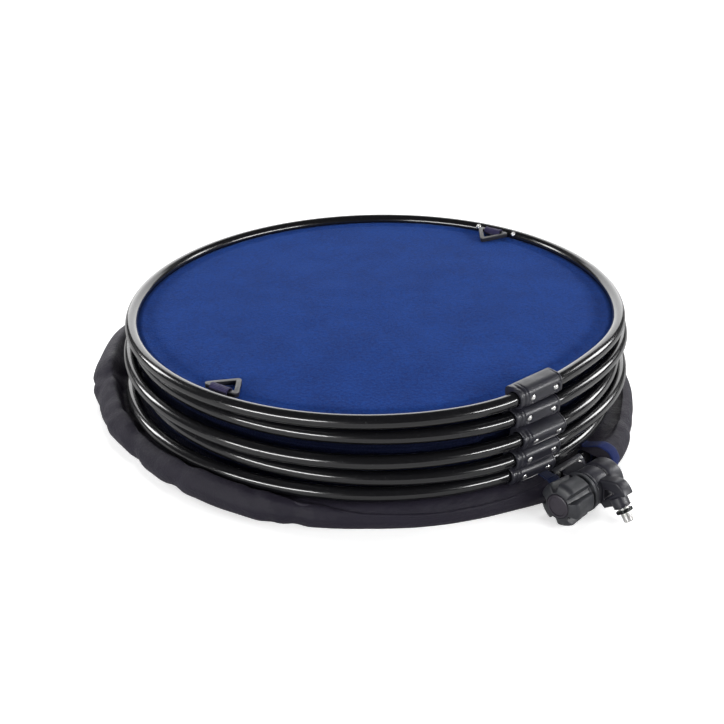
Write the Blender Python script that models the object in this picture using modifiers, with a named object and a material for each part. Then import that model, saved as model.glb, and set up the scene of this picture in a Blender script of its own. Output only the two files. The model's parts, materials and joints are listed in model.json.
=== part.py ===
"""A round keepnet, collapsed and standing on its mouth.

Five tube rings lie in a stack on the mouth ring, with the base disc on top. The net's panels hang
inside the stack, and the collar, the net's topmost length, bulges out round the mouth ring as a
soft roll that lies on the ground. A tilting lock on the mouth ring carries the threaded stud that
a bank stick takes. Metres, +Z up, with the origin on the ground under the middle of the part.
"""

import math

import bmesh
import bpy
from mathutils import Matrix, Vector

MM = 0.001
UP = Vector((0, 0, 1))

# Fits
CLEARANCE = 0.3 * MM
SLIDE_CLEARANCE = 0.8 * MM

# Tube rings
RING_OUTER = 500 * MM
TUBE_RADIUS = 6.35 * MM
RING_STEPS = 48
TUBE_END_GAP = 1.0 * MM
# The tube's straight ends pull each ring in beside its sleeve, over this stretch of it.
FLAT_CENTRE = math.radians(-42)
FLAT_HALF = math.radians(30)
PATH_RADIUS = RING_OUTER / 2 - TUBE_RADIUS
STEP = 2 * math.pi / RING_STEPS

# Each ring: height of its plane, its middle, its two tilts, its sleeve's bearing, how far its
# flat stretch is pulled in, and the roll of its sleeve about the tube.
RINGS = {
    "ring_1": dict(z=104.0 * MM, x=0.0, y=0.0,
                   tilt_x=1.4, tilt_y=1.0, sleeve=-54.35, pull=7.0 * MM, roll=0),
    "ring_2": dict(z=87.6 * MM, x=4.5 * MM, y=2.8 * MM,
                   tilt_x=0.7, tilt_y=0.95, sleeve=-56.35, pull=5.0 * MM, roll=-3),
    "ring_3": dict(z=70.1 * MM, x=-3.0 * MM, y=-3.8 * MM,
                   tilt_x=0.1, tilt_y=1.6, sleeve=-52.35, pull=1.0 * MM, roll=-20),
    "ring_4": dict(z=53.5 * MM, x=7.0 * MM, y=0.0,
                   tilt_x=0.2, tilt_y=1.9, sleeve=-56.35, pull=4.0 * MM, roll=-5),
    "ring_5": dict(z=28.5 * MM, x=-5.6 * MM, y=-1.2 * MM,
                   tilt_x=-0.3, tilt_y=-0.4, sleeve=-53.85, pull=0.0, roll=-20),
    "head_ring": dict(z=12.0 * MM, x=2.5 * MM, y=-2.5 * MM,
                   tilt_x=0, tilt_y=0, sleeve=-46.0, pull=0.0, roll=0),
}

# Joint sleeves and their rivets
SLEEVE_LENGTH = 50.5 * MM
SLEEVE_HALF_DEPTH = 9.8 * MM
SLEEVE_HALF_HEIGHT = 8.3 * MM
SLEEVE_FACET = 9.2 * MM
SLEEVE_COLLAR = 9 * MM
SLEEVE_LIP = 1.6 * MM
SLEEVE_NECK = 0.92
SLEEVE_TIP = 0.88
SLEEVE_SIDES = 16
RIVET_HEAD_RADIUS = 2.6 * MM
RIVET_HEAD_HEIGHT = 1.5 * MM
RIVET_SHANK_RADIUS = 1.3 * MM
RIVET_RECESS_RADIUS = 3.7 * MM
RIVET_RECESS = 1.0 * MM
RIVET_DOME = (0, 0.6, 1.15)
RIVET_FROM_LEFT = 15 * MM
RIVET_FROM_RIGHT = 7 * MM

# Base disc and the net's panels
DISC_THICKNESS = 2 * MM
DISC_DROP = 2.5 * MM
NET_THICKNESS = 1.4 * MM
NET_SAG = 4 * MM
NET_EDGE_GAP = 0.6 * MM

# Carrying loops on the base disc
LOOP_BEARINGS = {"near": -124.6, "far": 53.2}
LOOP_BASE = 44 * MM
LOOP_HEIGHT = 30 * MM
LOOP_BAR = 4.4 * MM
LOOP_THICKNESS = 4 * MM
LOOP_CORNER = 3.5 * MM
TAB_WIDTH = 20 * MM
TAB_THICKNESS = 1.2 * MM
TAB_RIVET_SPACING = 48 * MM
TAB_RIVET_RISE = {"near": math.radians(16), "far": math.radians(35)}

# Mouth ring's hem, and the collar that rolls out round it. Both stop beside the lock, where a
# band binds each end of the collar. Distances run along the ring from the lock's middle.
HEM_THICKNESS = 1.0 * MM
HEM_SIDES = 8
COLLAR_END = {"right": 44 * MM, "left": -20 * MM}
BAND_WIDTH = 9 * MM
# Behind the lock the collar runs inside the mouth ring as a low wall.
FLAP_HEIGHT = 18.5 * MM
FLAP_THICKNESS = 2.5 * MM
FLAP_LAP = 4 * MM
FLAT_FOOT = 0.5 * MM
FOLD_COUNT = 13
FOLD_DEPTH = 1.6 * MM
# The roll's outline from the ground round to its top, as shares of its depth in from its reach
# and of half its height.
ROLL_OUTLINE = [(0.75, 0), (0.22, 0.3), (0, 1), (0.15, 1.45), (0.55, 1.88)]
ROLL_FILL = 0.9
ROLL_LIP = 1.2 * MM

# Tilting lock. Its pivot runs beside the mouth ring's tube, this far out and level with the ground.
LOCK_BEARING = math.radians(-46)
PIVOT_OUT = 39.5 * MM
PIVOT_HEIGHT = 19 * MM
PIVOT_ALONG = -1 * MM
SERRATION_GAP = 0.4 * MM
HOUSING_RADIUS = 18 * MM
HOUSING_LENGTH = 18.5 * MM
HOUSING_ROUND = 4 * MM
SADDLE_WALL = 3.4 * MM
SADDLE_SPAN = (-16 * MM, 26 * MM)
SADDLE_ARC = math.radians(80)
WEB_SPAN = (-12 * MM, 15 * MM)
WEB_HEIGHT = 15 * MM
WEB_BELOW = 5.25 * MM
WEB_INTO_HEAD = 7.2 * MM
SCREW_PLACES = {"left": -11 * MM, "right": 19 * MM}
SCREW_RISE = math.radians(36)
ARM_WIDTH = 16 * MM
ARM_RADIUS = 17 * MM
ARM_WEB = 12.5 * MM
# The arm's web in the plane square to its pivot: its top, its shoulder round the boss, its strut.
ARM_TOP = [(38.1, 9.0), (30.0, 17.0), (27.0, 17.8)]
ARM_TOP_JOINS = math.radians(46)
ARM_STRUT = [(15.8, -9.7), (19.2, -12.2), (27.5, -6.2), (29.3, 1.9)]
ARM_STRUT_JOINS = math.radians(326)
ARM_WINDOW = [(18.0, -4.2), (28.1, 7.5), (17.4, 7.0)]
STUD_RADIUS = 4.7625 * MM
STUD_ANGLE = math.radians(-52)
STUD_EXPOSED = 13.5 * MM
STUD_SEAT = 9 * MM
STUD_CHAMFER = 1 * MM
BOSS_RADIUS = 7.7 * MM
BOSS_END = (34.4 * MM, -4.8 * MM)
BOSS_LENGTH = 9.5 * MM
LOCK_RING_RADIUS = 7.4 * MM
LOCK_RING_THICKNESS = 2.6 * MM
LOCK_RING_TEETH = 18
LOCK_RING_TOOTH = 0.7 * MM
WASHER_RADIUS = 17.6 * MM
WASHER_THICKNESS = 3.4 * MM
KNOB_RADIUS = 18.6 * MM
KNOB_LENGTH = 34.5 * MM
KNOB_LOBES = 5
KNOB_TURN = math.radians(-67)
KNOB_SHOULDER = 4.5 * MM
KNOB_RIM = 13.2 * MM
KNOB_GROOVE = 2.6 * MM
CAP_RADIUS = 10.8 * MM
CAP_THICKNESS = 2.4 * MM
CAP_PROUD = 0.9 * MM
CAP_CHAMFER = 0.7 * MM
BOLT_RADIUS = 4 * MM
BOLT_HEAD_RADIUS = 6.5 * MM
BOLT_HEAD = 4 * MM
NUT_RADIUS = 7 * MM
NUT_THICKNESS = 5 * MM

# Bearing in degrees, how far the roll reaches out past the rings and half its height. It keeps
# this gap to the knob.
ROLL_TO_KNOB = 6 * MM
ROLL = [
    (-180, 41 * MM, 21 * MM),
    (-160, 31 * MM, 21 * MM),
    (-145, 25 * MM, 20 * MM),
    (-115, 24 * MM, 18 * MM),
    (-100, 21 * MM, 17 * MM),
    (-85, 17 * MM, 15 * MM),
    (-60, PIVOT_OUT - KNOB_RADIUS - ROLL_TO_KNOB, 13 * MM),
    (-36, 20 * MM, 11 * MM),
    (-15, 17 * MM, 12 * MM),
    (0, 18 * MM, 14 * MM),
    (45, 22 * MM, 19 * MM),
    (90, 26 * MM, 20 * MM),
    (135, 33 * MM, 21 * MM),
    (160, 40 * MM, 21 * MM),
    (180, 41 * MM, 21 * MM),
]

# name: colour, metallic, roughness
FINISHES = {
    "black_tube": ((0.012, 0.012, 0.014), 0.0, 0.14),
    "moulded_black": ((0.045, 0.045, 0.055), 0.0, 0.5),
    "bright_metal": ((0.75, 0.74, 0.72), 1.0, 0.22),
    "blue_cloth": ((0.028, 0.075, 0.29), 0.0, 0.85),
    "blue_net": ((0.012, 0.026, 0.12), 0.0, 0.9),
    "black_cloth": ((0.022, 0.021, 0.03), 0.0, 0.7),
    "navy_webbing": ((0.03, 0.028, 0.08), 0.0, 0.8),
}


def clear_scene():
    for item in list(bpy.data.objects):
        bpy.data.objects.remove(item, do_unlink=True)


def finish(name):
    """The material of this name, made once."""
    if name in bpy.data.materials:
        return bpy.data.materials[name]
    colour, metallic, roughness = FINISHES[name]
    material = bpy.data.materials.new(name)
    material.use_nodes = True
    shader = material.node_tree.nodes["Principled BSDF"]
    shader.inputs["Base Color"].default_value = (*colour, 1)
    shader.inputs["Metallic"].default_value = metallic
    shader.inputs["Roughness"].default_value = roughness
    return material


def collection(name):
    if name not in bpy.data.collections:
        bpy.context.scene.collection.children.link(bpy.data.collections.new(name))
    return bpy.data.collections[name]


def place(name, data, material=None, parent=None, matrix=None, smooth=True):
    """A new object of the keepnet, in its parent's frame."""
    item = bpy.data.objects.new(name, data)
    collection("keepnet").objects.link(item)
    item.parent = parent
    item.matrix_local = matrix or Matrix()
    if material:
        data.materials.clear()
        data.materials.append(finish(material))
    if smooth and isinstance(data, bpy.types.Mesh):
        data.shade_smooth()
        data.set_sharp_from_angle(angle=math.radians(40))
    return item


def frame(name, matrix, parent):
    """An empty that carries the pieces of one sub-assembly."""
    item = bpy.data.objects.new(name, None)
    collection("keepnet").objects.link(item)
    item.parent = parent
    item.matrix_local = matrix
    return item


def axes_matrix(origin, x_axis, y_axis, z_axis):
    matrix = Matrix((x_axis, y_axis, z_axis)).transposed().to_4x4()
    matrix.translation = origin
    return matrix


def mesh_of(item):
    """The object's evaluated shape as a welded mesh of its own. The object and its cutters go."""
    bpy.context.view_layer.update()
    graph = bpy.context.evaluated_depsgraph_get()
    mesh = bpy.data.meshes.new_from_object(item.evaluated_get(graph))
    shape = bmesh.new()
    shape.from_mesh(mesh)
    bmesh.ops.remove_doubles(shape, verts=shape.verts, dist=0.002 * MM)
    shape.to_mesh(mesh)
    shape.free()
    helpers = [modifier.object for modifier in item.modifiers if modifier.type == "BOOLEAN"]
    for old in [item, *helpers]:
        bpy.data.objects.remove(old, do_unlink=True)
    return mesh


def helper(data, matrix=None):
    """A cutter, or a shape that is joined to another."""
    item = bpy.data.objects.new("cutter", data)
    collection("cutters").objects.link(item)
    item.matrix_local = matrix or Matrix()
    item.hide_render = True
    item.display_type = "WIRE"
    return item


def boolean(item, other, operation):
    step = item.modifiers.new(operation.title(), "BOOLEAN")
    step.object = other
    step.operation = operation


def cylinder(radius, start, end, sides, axis="Z"):
    """A cylinder's mesh along an axis of its frame, between two places on it."""
    shape = bmesh.new()
    bmesh.ops.create_cone(
        shape,
        cap_ends=True,
        segments=sides,
        radius1=radius,
        radius2=radius,
        depth=end - start,
    )
    bmesh.ops.translate(shape, verts=shape.verts, vec=(0, 0, (start + end) / 2))
    if axis == "X":
        bmesh.ops.rotate(shape, verts=shape.verts, matrix=Matrix.Rotation(math.pi / 2, 3, "Y"))
    if axis == "Y":
        bmesh.ops.rotate(shape, verts=shape.verts, matrix=Matrix.Rotation(-math.pi / 2, 3, "X"))
    mesh = bpy.data.meshes.new("cylinder")
    shape.to_mesh(mesh)
    shape.free()
    return mesh


def box(low, high):
    shape = bmesh.new()
    bmesh.ops.create_cube(shape, size=1)
    low, high = Vector(low), Vector(high)
    bmesh.ops.scale(shape, verts=shape.verts, vec=high - low)
    bmesh.ops.translate(shape, verts=shape.verts, vec=(low + high) / 2)
    mesh = bpy.data.meshes.new("box")
    shape.to_mesh(mesh)
    shape.free()
    return mesh


def loft(loops, closed):
    """A skin through loops of equally many points, capped at its ends unless it closes."""
    shape = bmesh.new()
    rows = [[shape.verts.new(point) for point in loop] for loop in loops]
    pairs = list(zip(rows[:-1], rows[1:]))
    if closed:
        pairs.append((rows[-1], rows[0]))
    else:
        shape.faces.new(rows[0])
        shape.faces.new(rows[-1])
    for row, after in pairs:
        for i in range(len(row)):
            j = (i + 1) % len(row)
            shape.faces.new((row[i], row[j], after[j], after[i]))
    bmesh.ops.recalc_face_normals(shape, faces=shape.faces)
    mesh = bpy.data.meshes.new("loft")
    shape.to_mesh(mesh)
    shape.free()
    return mesh


def turned(profile, sides):
    """A profile of (radius, height) points, top to bottom down its outer side, turned about Z."""
    mesh = bpy.data.meshes.new("profile")
    count = len(profile)
    hollow = profile[0][0] > 0
    edges = [(i, i + 1) for i in range(count - 1)]
    if hollow:
        edges.append((count - 1, 0))
    mesh.from_pydata([(radius, 0, height) for radius, height in profile], edges, [])
    item = bpy.data.objects.new("profile", mesh)
    collection("cutters").objects.link(item)
    screw = item.modifiers.new("Screw", "SCREW")
    screw.steps = sides
    screw.render_steps = sides
    screw.use_merge_vertices = True
    screw.merge_threshold = 0.01 * MM
    return mesh_of(item)


def plate(outlines, thickness):
    """Flat outlines in the XY plane, the first one's inside less the others', with a thickness."""
    curve = bpy.data.curves.new("outline", "CURVE")
    curve.dimensions = "2D"
    curve.fill_mode = "BOTH"
    curve.extrude = thickness / 2
    for outline in outlines:
        spline = curve.splines.new("POLY")
        spline.points.add(len(outline) - 1)
        for point, (x, y) in zip(spline.points, outline):
            point.co = (x, y, 0, 1)
        spline.use_cyclic_u = True
    item = bpy.data.objects.new("outline", curve)
    collection("cutters").objects.link(item)
    return mesh_of(item)


def arc(centre, radius, start, end, count):
    """Points on an arc, both ends included."""
    angles = [start + (end - start) * i / (count - 1) for i in range(count)]
    return [(centre[0] + radius * math.cos(a), centre[1] + radius * math.sin(a)) for a in angles]


def rounded(corners, radius, count=4):
    """A convex outline whose corners, given anticlockwise, are rounded."""
    points = []
    for i, corner in enumerate(corners):
        here = Vector(corner)
        back = (Vector(corners[i - 1]) - here).normalized()
        on = (Vector(corners[(i + 1) % len(corners)]) - here).normalized()
        half = back.angle(on) / 2
        centre = here + (back + on).normalized() * radius / math.sin(half)
        start = math.atan2(*(here + back * radius / math.tan(half) - centre).yx)
        end = math.atan2(*(here + on * radius / math.tan(half) - centre).yx)
        if end < start:
            end += 2 * math.pi
        points += arc(centre, radius, start, end, count)
    return points


# Tube rings


def ring_matrix(ring):
    spec = RINGS[ring]
    turn = Matrix.Rotation(math.radians(-spec["tilt_x"]), 4, "Y")
    turn = turn @ Matrix.Rotation(math.radians(spec["tilt_y"]), 4, "X")
    return Matrix.Translation(Vector((spec["x"], spec["y"], spec["z"]))) @ turn


def path_radius(ring, bearing):
    """The tube's distance from its ring's middle, drawn in along the flat stretch."""
    away = (bearing - FLAT_CENTRE + math.pi) % (2 * math.pi) - math.pi
    if abs(away) > FLAT_HALF:
        return PATH_RADIUS
    share = math.cos(math.pi / 2 * away / FLAT_HALF) ** 2
    return PATH_RADIUS - RINGS[ring]["pull"] * share


def ring_path(ring):
    """Points along the tube in its ring's plane, from one side of the sleeve round to the other."""
    start = math.radians(RINGS[ring]["sleeve"])
    bearings = [start + STEP * k for k in range(1, RING_STEPS)]
    return [Vector((math.cos(b), math.sin(b), 0)) * path_radius(ring, b) for b in bearings]


def path_normals(path):
    """The outward direction at each point of a closed path in its plane."""
    count = len(path)
    return [(path[(k + 1) % count] - path[k - 1]).normalized().cross(UP) for k in range(count)]


def joint_matrix(ring):
    """The frame of a ring's sleeve: X outward, Y along the straight tube, Z up."""
    path = ring_path(ring)
    along = (path[0] - path[-1]).normalized()
    return axes_matrix((path[0] + path[-1]) / 2, along.cross(UP), along, UP)


def tube(ring, parent):
    """The ring's tube, whose two ends meet in the sleeve."""
    joint = joint_matrix(ring)
    first = joint @ Vector((0, TUBE_END_GAP / 2, 0))
    last = joint @ Vector((0, -TUBE_END_GAP / 2, 0))
    curve = bpy.data.curves.new(ring + "_tube", "CURVE")
    curve.dimensions = "3D"
    curve.twist_mode = "Z_UP"
    curve.bevel_depth = TUBE_RADIUS
    curve.bevel_resolution = 2
    curve.use_fill_caps = True
    points = [first, *ring_path(ring), last]
    spline = curve.splines.new("POLY")
    spline.points.add(len(points) - 1)
    for point, place_of in zip(spline.points, points):
        point.co = (*place_of, 1)
    return place(ring + "_tube", curve, "black_tube", parent, smooth=False)


def sleeve_section(neck, along):
    """One section of the sleeve: an oval with an outer facet, or its plain round neck."""
    points = []
    for k in range(SLEEVE_SIDES):
        angle = 2 * math.pi * (k + 0.5) / SLEEVE_SIDES
        out = SLEEVE_HALF_DEPTH * math.cos(angle)
        up = SLEEVE_HALF_HEIGHT * math.sin(angle)
        points.append(Vector((min(out, SLEEVE_FACET) * neck, along, up * neck)))
    return points


def rivet_places():
    half = SLEEVE_LENGTH / 2
    return {"left": RIVET_FROM_LEFT - half, "right": half - RIVET_FROM_RIGHT}


def sleeve_mesh():
    half = SLEEVE_LENGTH / 2
    stations = [
        (SLEEVE_TIP, -half),
        (SLEEVE_NECK, -half + SLEEVE_LIP),
        (SLEEVE_NECK, -half + SLEEVE_COLLAR - SLEEVE_LIP),
        (1, -half + SLEEVE_COLLAR),
        (1, half - SLEEVE_LIP),
        (SLEEVE_NECK, half),
    ]
    body = place("sleeve", loft([sleeve_section(neck, along) for neck, along in stations], False))
    bore_radius = (TUBE_RADIUS + CLEARANCE) / math.cos(math.pi / SLEEVE_SIDES)
    bore = cylinder(bore_radius, -SLEEVE_LENGTH, SLEEVE_LENGTH, SLEEVE_SIDES, "Y")
    boolean(body, helper(bore), "DIFFERENCE")
    for along in rivet_places().values():
        at = Matrix.Translation((0, along, 0))
        recess = cylinder(RIVET_RECESS_RADIUS, SLEEVE_FACET - RIVET_RECESS, 2 * SLEEVE_FACET, 12, "X")
        hole = cylinder(RIVET_SHANK_RADIUS + CLEARANCE, 0, SLEEVE_FACET, 10, "X")
        boolean(body, helper(recess, at), "DIFFERENCE")
        boolean(body, helper(hole, at), "DIFFERENCE")
    return mesh_of(body)


def rivet_mesh(shank):
    """A round-headed rivet along Z, with its head's flat side at 0 and a shank of this length."""
    dome = [(RIVET_HEAD_RADIUS * math.sin(a), RIVET_HEAD_HEIGHT * math.cos(a)) for a in RIVET_DOME]
    profile = [*dome, (RIVET_HEAD_RADIUS, 0)]
    if shank:
        profile += [(RIVET_SHANK_RADIUS, 0), (RIVET_SHANK_RADIUS, -shank), (0, -shank)]
    else:
        profile += [(0, 0)]
    return turned(profile, 10)


def build_rings(root):
    """The six tubes, and the sleeve and two rivets on each but the mouth ring's."""
    sleeve = sleeve_mesh()
    seat = SLEEVE_FACET - RIVET_RECESS + CLEARANCE
    rivet = rivet_mesh(seat - TUBE_RADIUS - CLEARANCE)
    outward = Matrix.Rotation(math.pi / 2, 4, "Y")
    frames = {}
    for ring, spec in RINGS.items():
        frames[ring] = frame(ring, ring_matrix(ring), root)
        tube(ring, frames[ring])
        if ring == "head_ring":
            continue
        joint = joint_matrix(ring) @ Matrix.Rotation(math.radians(-spec["roll"]), 4, "Y")
        place(ring + "_sleeve", sleeve, "moulded_black", frames[ring], joint)
        for side, along in rivet_places().items():
            at = joint @ Matrix.Translation((seat, along, 0)) @ outward
            place(f"{ring}_rivet_{side}", rivet, "bright_metal", frames[ring], at)
    return frames


# Base disc, net and carrying loops


def cloth_insets(more=0):
    """How far in from the tube's axis cloth lies along a ring, clear of its tube and sleeve."""
    beside_sleeve = (0, RING_STEPS - 2)
    depths = [SLEEVE_HALF_DEPTH if k in beside_sleeve else TUBE_RADIUS for k in range(RING_STEPS - 1)]
    return [depth + CLEARANCE + more for depth in depths]


def base_disc(frames):
    path = ring_path("ring_1")
    outline = [(p - n * inset).xy for p, n, inset in zip(path, path_normals(path), cloth_insets())]
    at = Matrix.Translation((0, 0, -DISC_DROP))
    place("base_disc", plate([outline], DISC_THICKNESS), "blue_cloth", frames["ring_1"], at)


def cloth_line(ring, more, rise):
    """Points that follow a ring inside its tube, this much farther in and higher than its axis."""
    matrix = ring_matrix(ring)
    path = ring_path(ring)
    spots = zip(path, path_normals(path), cloth_insets(more))
    return [matrix @ (p - n * inset + UP * rise) for p, n, inset in spots]


def net_panel(upper, lower, root):
    """The panel between two rings, sewn to the inner side of each and sagging in between them."""
    start = NET_EDGE_GAP
    if upper == "ring_1":
        start = DISC_DROP + DISC_THICKNESS / 2 + CLEARANCE
    rows = []
    for more in (0, NET_THICKNESS):
        top = cloth_line(upper, more, -start)
        bottom = cloth_line(lower, more, NET_EDGE_GAP)
        under = cloth_line(upper, more + NET_SAG, -TUBE_RADIUS)
        over = cloth_line(lower, more + NET_SAG, TUBE_RADIUS)
        middle = [(a + b) / 2 for a, b in zip(under, over)]
        rows.append([top, middle, bottom])
    outer, inner = rows
    loops = [list(points) for points in zip(*outer, *reversed(inner))]
    number = upper[-1] + "_" + lower[-1]
    place("net_panel_" + number, loft(loops, True), "blue_net", root)


def loop_matrix(bearing):
    """The frame of a carrying loop's hinge: X outward, Y along its bar, in the base ring's frame."""
    angle = math.radians(bearing)
    out = Vector((math.cos(angle), math.sin(angle), 0))
    seat = DISC_THICKNESS / 2 - DISC_DROP + CLEARANCE
    reach = path_radius("ring_1", angle) * math.cos(STEP / 2) - TUBE_RADIUS - CLEARANCE
    origin = out * (reach - tab_radius()) + UP * (seat + tab_radius())
    return axes_matrix(origin, out, UP.cross(out), UP)


def bar_radius():
    """Half the diagonal of the loop's bar, which is what turns in the tab."""
    return math.hypot(LOOP_BAR, LOOP_THICKNESS) / 2


def tab_radius():
    return bar_radius() + CLEARANCE + TAB_THICKNESS


def loop_mesh():
    """A flat triangular loop whose bar lies on Y, with its point inward along -X."""
    half = LOOP_BAR / 2
    outer = [(half, -LOOP_BASE / 2), (half, LOOP_BASE / 2), (half - LOOP_HEIGHT, 0)]
    slope = math.hypot(LOOP_HEIGHT, LOOP_BASE / 2)
    reach = LOOP_BASE / 2 - LOOP_BAR * (slope + LOOP_BASE / 2) / LOOP_HEIGHT
    tip = half - LOOP_HEIGHT + LOOP_BAR * slope / (LOOP_BASE / 2)
    inner = [(-half, -reach), (-half, reach), (tip, 0)]
    outlines = [rounded(outer, LOOP_CORNER), rounded(inner, LOOP_CORNER / 4, 2)]
    return plate(outlines, LOOP_THICKNESS)


def tab_mesh():
    """Webbing folded round the bar, with its sewn tail running out to the tube. Along Y."""
    radius = tab_radius()
    bore = arc((0, 0), bar_radius() + CLEARANCE, 0, 2 * math.pi, 17)[:-1]
    turn = math.asin((radius - TAB_THICKNESS) / radius)
    outer = arc((0, 0), radius, -turn, 1.5 * math.pi, 18)
    tail = [(radius, -radius), (radius, TAB_THICKNESS - radius)]
    mesh = plate([outer + tail, bore], TAB_WIDTH)
    mesh.transform(Matrix.Rotation(math.pi / 2, 4, "X"))
    return mesh


def build_loops(frames):
    """Each loop with its tab, and the two rivets that hold the tab's cloth to the tube."""
    ring = frames["ring_1"]
    loop = loop_mesh()
    tab = tab_mesh()
    rivet = rivet_mesh(0)
    drop = tab_radius() - LOOP_THICKNESS / 2
    rest = -math.asin(drop / (LOOP_HEIGHT - LOOP_BAR))
    matrix = ring_matrix("ring_1")
    for side, bearing in LOOP_BEARINGS.items():
        hinge = loop_matrix(bearing)
        place(f"{side}_loop", loop, "moulded_black", ring, hinge @ Matrix.Rotation(rest, 4, "Y"))
        place(f"{side}_loop_tab", tab, "navy_webbing", ring, hinge)
        print(side, "loop hinge at", tuple(round(v, 5) for v in (matrix @ hinge).translation))
        for end, way in (("a", -1), ("b", 1)):
            turn = TAB_RIVET_SPACING / 2 / PATH_RADIUS
            angle = math.radians(bearing) + way * turn
            out = Vector((math.cos(angle), math.sin(angle), 0))
            axis = UP * math.sin(TAB_RIVET_RISE[side]) - out * math.cos(TAB_RIVET_RISE[side])
            along = UP.cross(out)
            seat = out * path_radius("ring_1", angle) + axis * (TUBE_RADIUS + CLEARANCE)
            at = axes_matrix(seat, axis.cross(along) * -1, along, axis)
            place(f"{side}_tab_rivet_{end}", rivet, "bright_metal", ring, at)


# Mouth ring's hem and the collar


def stations(start, end):
    """Places along the mouth ring between two distances from the lock, with their normals."""
    path = ring_path("head_ring")
    normals = path_normals(path)
    joint = joint_matrix("head_ring")
    across = joint.to_3x3() @ Vector((1, 0, 0))
    half = (path[0] - path[-1]).length / 2
    chord = (path[1] - path[0]).length
    length = 2 * half + chord * (len(path) - 1)
    marks = []
    for base in (-length, 0):
        marks += [(base + half + chord * k, path[k], normals[k]) for k in range(len(path))]
        marks.append((base + length, joint.translation, across))
    if end < start:
        end += length
    found = []
    for (a, p, n), (b, q, m) in zip(marks[:-1], marks[1:]):
        for wanted in sorted({start, end, b}):
            if a < wanted <= b and start <= wanted <= end:
                share = (wanted - a) / (b - a)
                found.append((p.lerp(q, share), n.lerp(m, share).normalized()))
    return found


def hem(frames):
    """The cloth sleeve that the mouth ring runs in. It stops on each side of the lock."""
    inner = TUBE_RADIUS + CLEARANCE
    outer = inner + HEM_THICKNESS
    reach = 1 / math.cos(math.pi / HEM_SIDES)
    skins = []
    for radius in (outer, inner):
        loops = []
        for point, normal in stations(COLLAR_END["right"], COLLAR_END["left"]):
            angles = [2 * math.pi * (k + 0.5) / HEM_SIDES for k in range(HEM_SIDES)]
            ways = [normal * math.cos(a) + UP * math.sin(a) for a in angles]
            loops.append([point + way * radius * reach for way in ways])
        skins.append(loops)
    shape = bmesh.new()
    rows = [[[shape.verts.new(p) for p in loop] for loop in loops] for loops in skins]
    for skin in rows:
        for row, after in zip(skin[:-1], skin[1:]):
            for i in range(HEM_SIDES):
                j = (i + 1) % HEM_SIDES
                shape.faces.new((row[i], row[j], after[j], after[i]))
    for end in (0, -1):
        for i in range(HEM_SIDES):
            j = (i + 1) % HEM_SIDES
            shape.faces.new((rows[0][end][i], rows[0][end][j], rows[1][end][j], rows[1][end][i]))
    bmesh.ops.recalc_face_normals(shape, faces=shape.faces)
    mesh = bpy.data.meshes.new("head_hem")
    shape.to_mesh(mesh)
    shape.free()
    place("head_hem", mesh, "blue_cloth", frames["head_ring"])


def roll_at(bearing):
    """The collar roll's reach from the rings' middle and half its height, on this bearing."""
    degrees = math.degrees(bearing)
    degrees = (degrees + 180) % 360 - 180
    for (a, reach_a, half_a), (b, reach_b, half_b) in zip(ROLL[:-1], ROLL[1:]):
        if a <= degrees <= b:
            share = (degrees - a) / (b - a)
            share = share * share * (3 - 2 * share)
            reach = RING_OUTER / 2 + reach_a + (reach_b - reach_a) * share
            fold = FOLD_DEPTH * math.cos(FOLD_COUNT * bearing)
            return reach + fold, half_a + (half_b - half_a) * share
    raise ValueError("no bearing " + str(degrees))


def clear_of_ring_5(bearing, point, normal):
    """How far out the collar's inner wall stands from the mouth ring's axis, to let ring 5 slide."""
    spec = RINGS["ring_5"]
    radius = path_radius("ring_5", bearing)
    axis = Vector((math.cos(bearing) * radius, math.sin(bearing) * radius, 0))
    gap = ring_matrix("ring_5") @ axis - ring_matrix("head_ring") @ point
    depth = TUBE_RADIUS
    sleeve_half = SLEEVE_LENGTH / 2 / PATH_RADIUS + STEP / 2
    if abs(bearing - math.radians(spec["sleeve"])) < sleeve_half:
        depth = SLEEVE_HALF_DEPTH
    return gap.dot(normal) + depth + SLIDE_CLEARANCE


def collar_length(start, end, inward):
    """A length of the collar: its roll outside the hem and up to ring 5, and its foot under both."""
    sector = math.pi / HEM_SIDES
    hem_radius = (TUBE_RADIUS + CLEARANCE + HEM_THICKNESS) / math.cos(sector)
    keep = hem_radius + CLEARANCE
    matrix = ring_matrix("head_ring")
    height = matrix.translation.z
    foot_top = height - hem_radius - CLEARANCE
    low = (keep * math.cos(sector), height + keep * math.sin(sector))
    high = (keep * math.sin(sector), height + keep * math.cos(sector))
    loops = []
    for point, normal in stations(start, end):
        world = matrix @ point
        reach, half = roll_at(math.atan2(world.y, world.x))
        wall = clear_of_ring_5(math.atan2(point.y, point.x), point, normal)
        out = reach - world.xy.length
        soft = min(half, (out - max(wall, low[0])) * ROLL_FILL)
        lip = min(2 * half - 2 * ROLL_LIP, 2 * half * ROLL_FILL)
        section = [
            (-inward, 0),
            *[(out - soft * depth, half * rise) for depth, rise in ROLL_OUTLINE],
            (wall + ROLL_LIP, max(half * 2, high[1] + 2 * ROLL_LIP)),
            (wall, max(lip, high[1] + ROLL_LIP)),
            (wall, high[1] + CLEARANCE),
            (high[0] + max(0, wall - high[0]) / 2, high[1]),
            low,
            (low[0], foot_top),
            (-inward, foot_top),
        ]
        base = Vector((world.x, world.y, 0))
        loops.append([base + normal * a + UP * z for a, z in section])
    return loft(loops, False)


def collar_flap(start, end, inward):
    """The wall behind the lock, from one end of the roll to the other."""
    matrix = ring_matrix("head_ring")
    loops = []
    for point, normal in stations(start, end):
        world = matrix @ point
        base = Vector((world.x, world.y, 0))
        places = [(-inward, 0), (FLAP_THICKNESS - inward, 0)]
        section = [(a, z) for a, z in places] + [(a, FLAP_HEIGHT) for a, _ in reversed(places)]
        loops.append([base + normal * a + UP * z for a, z in section])
    return loft(loops, False)


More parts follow.
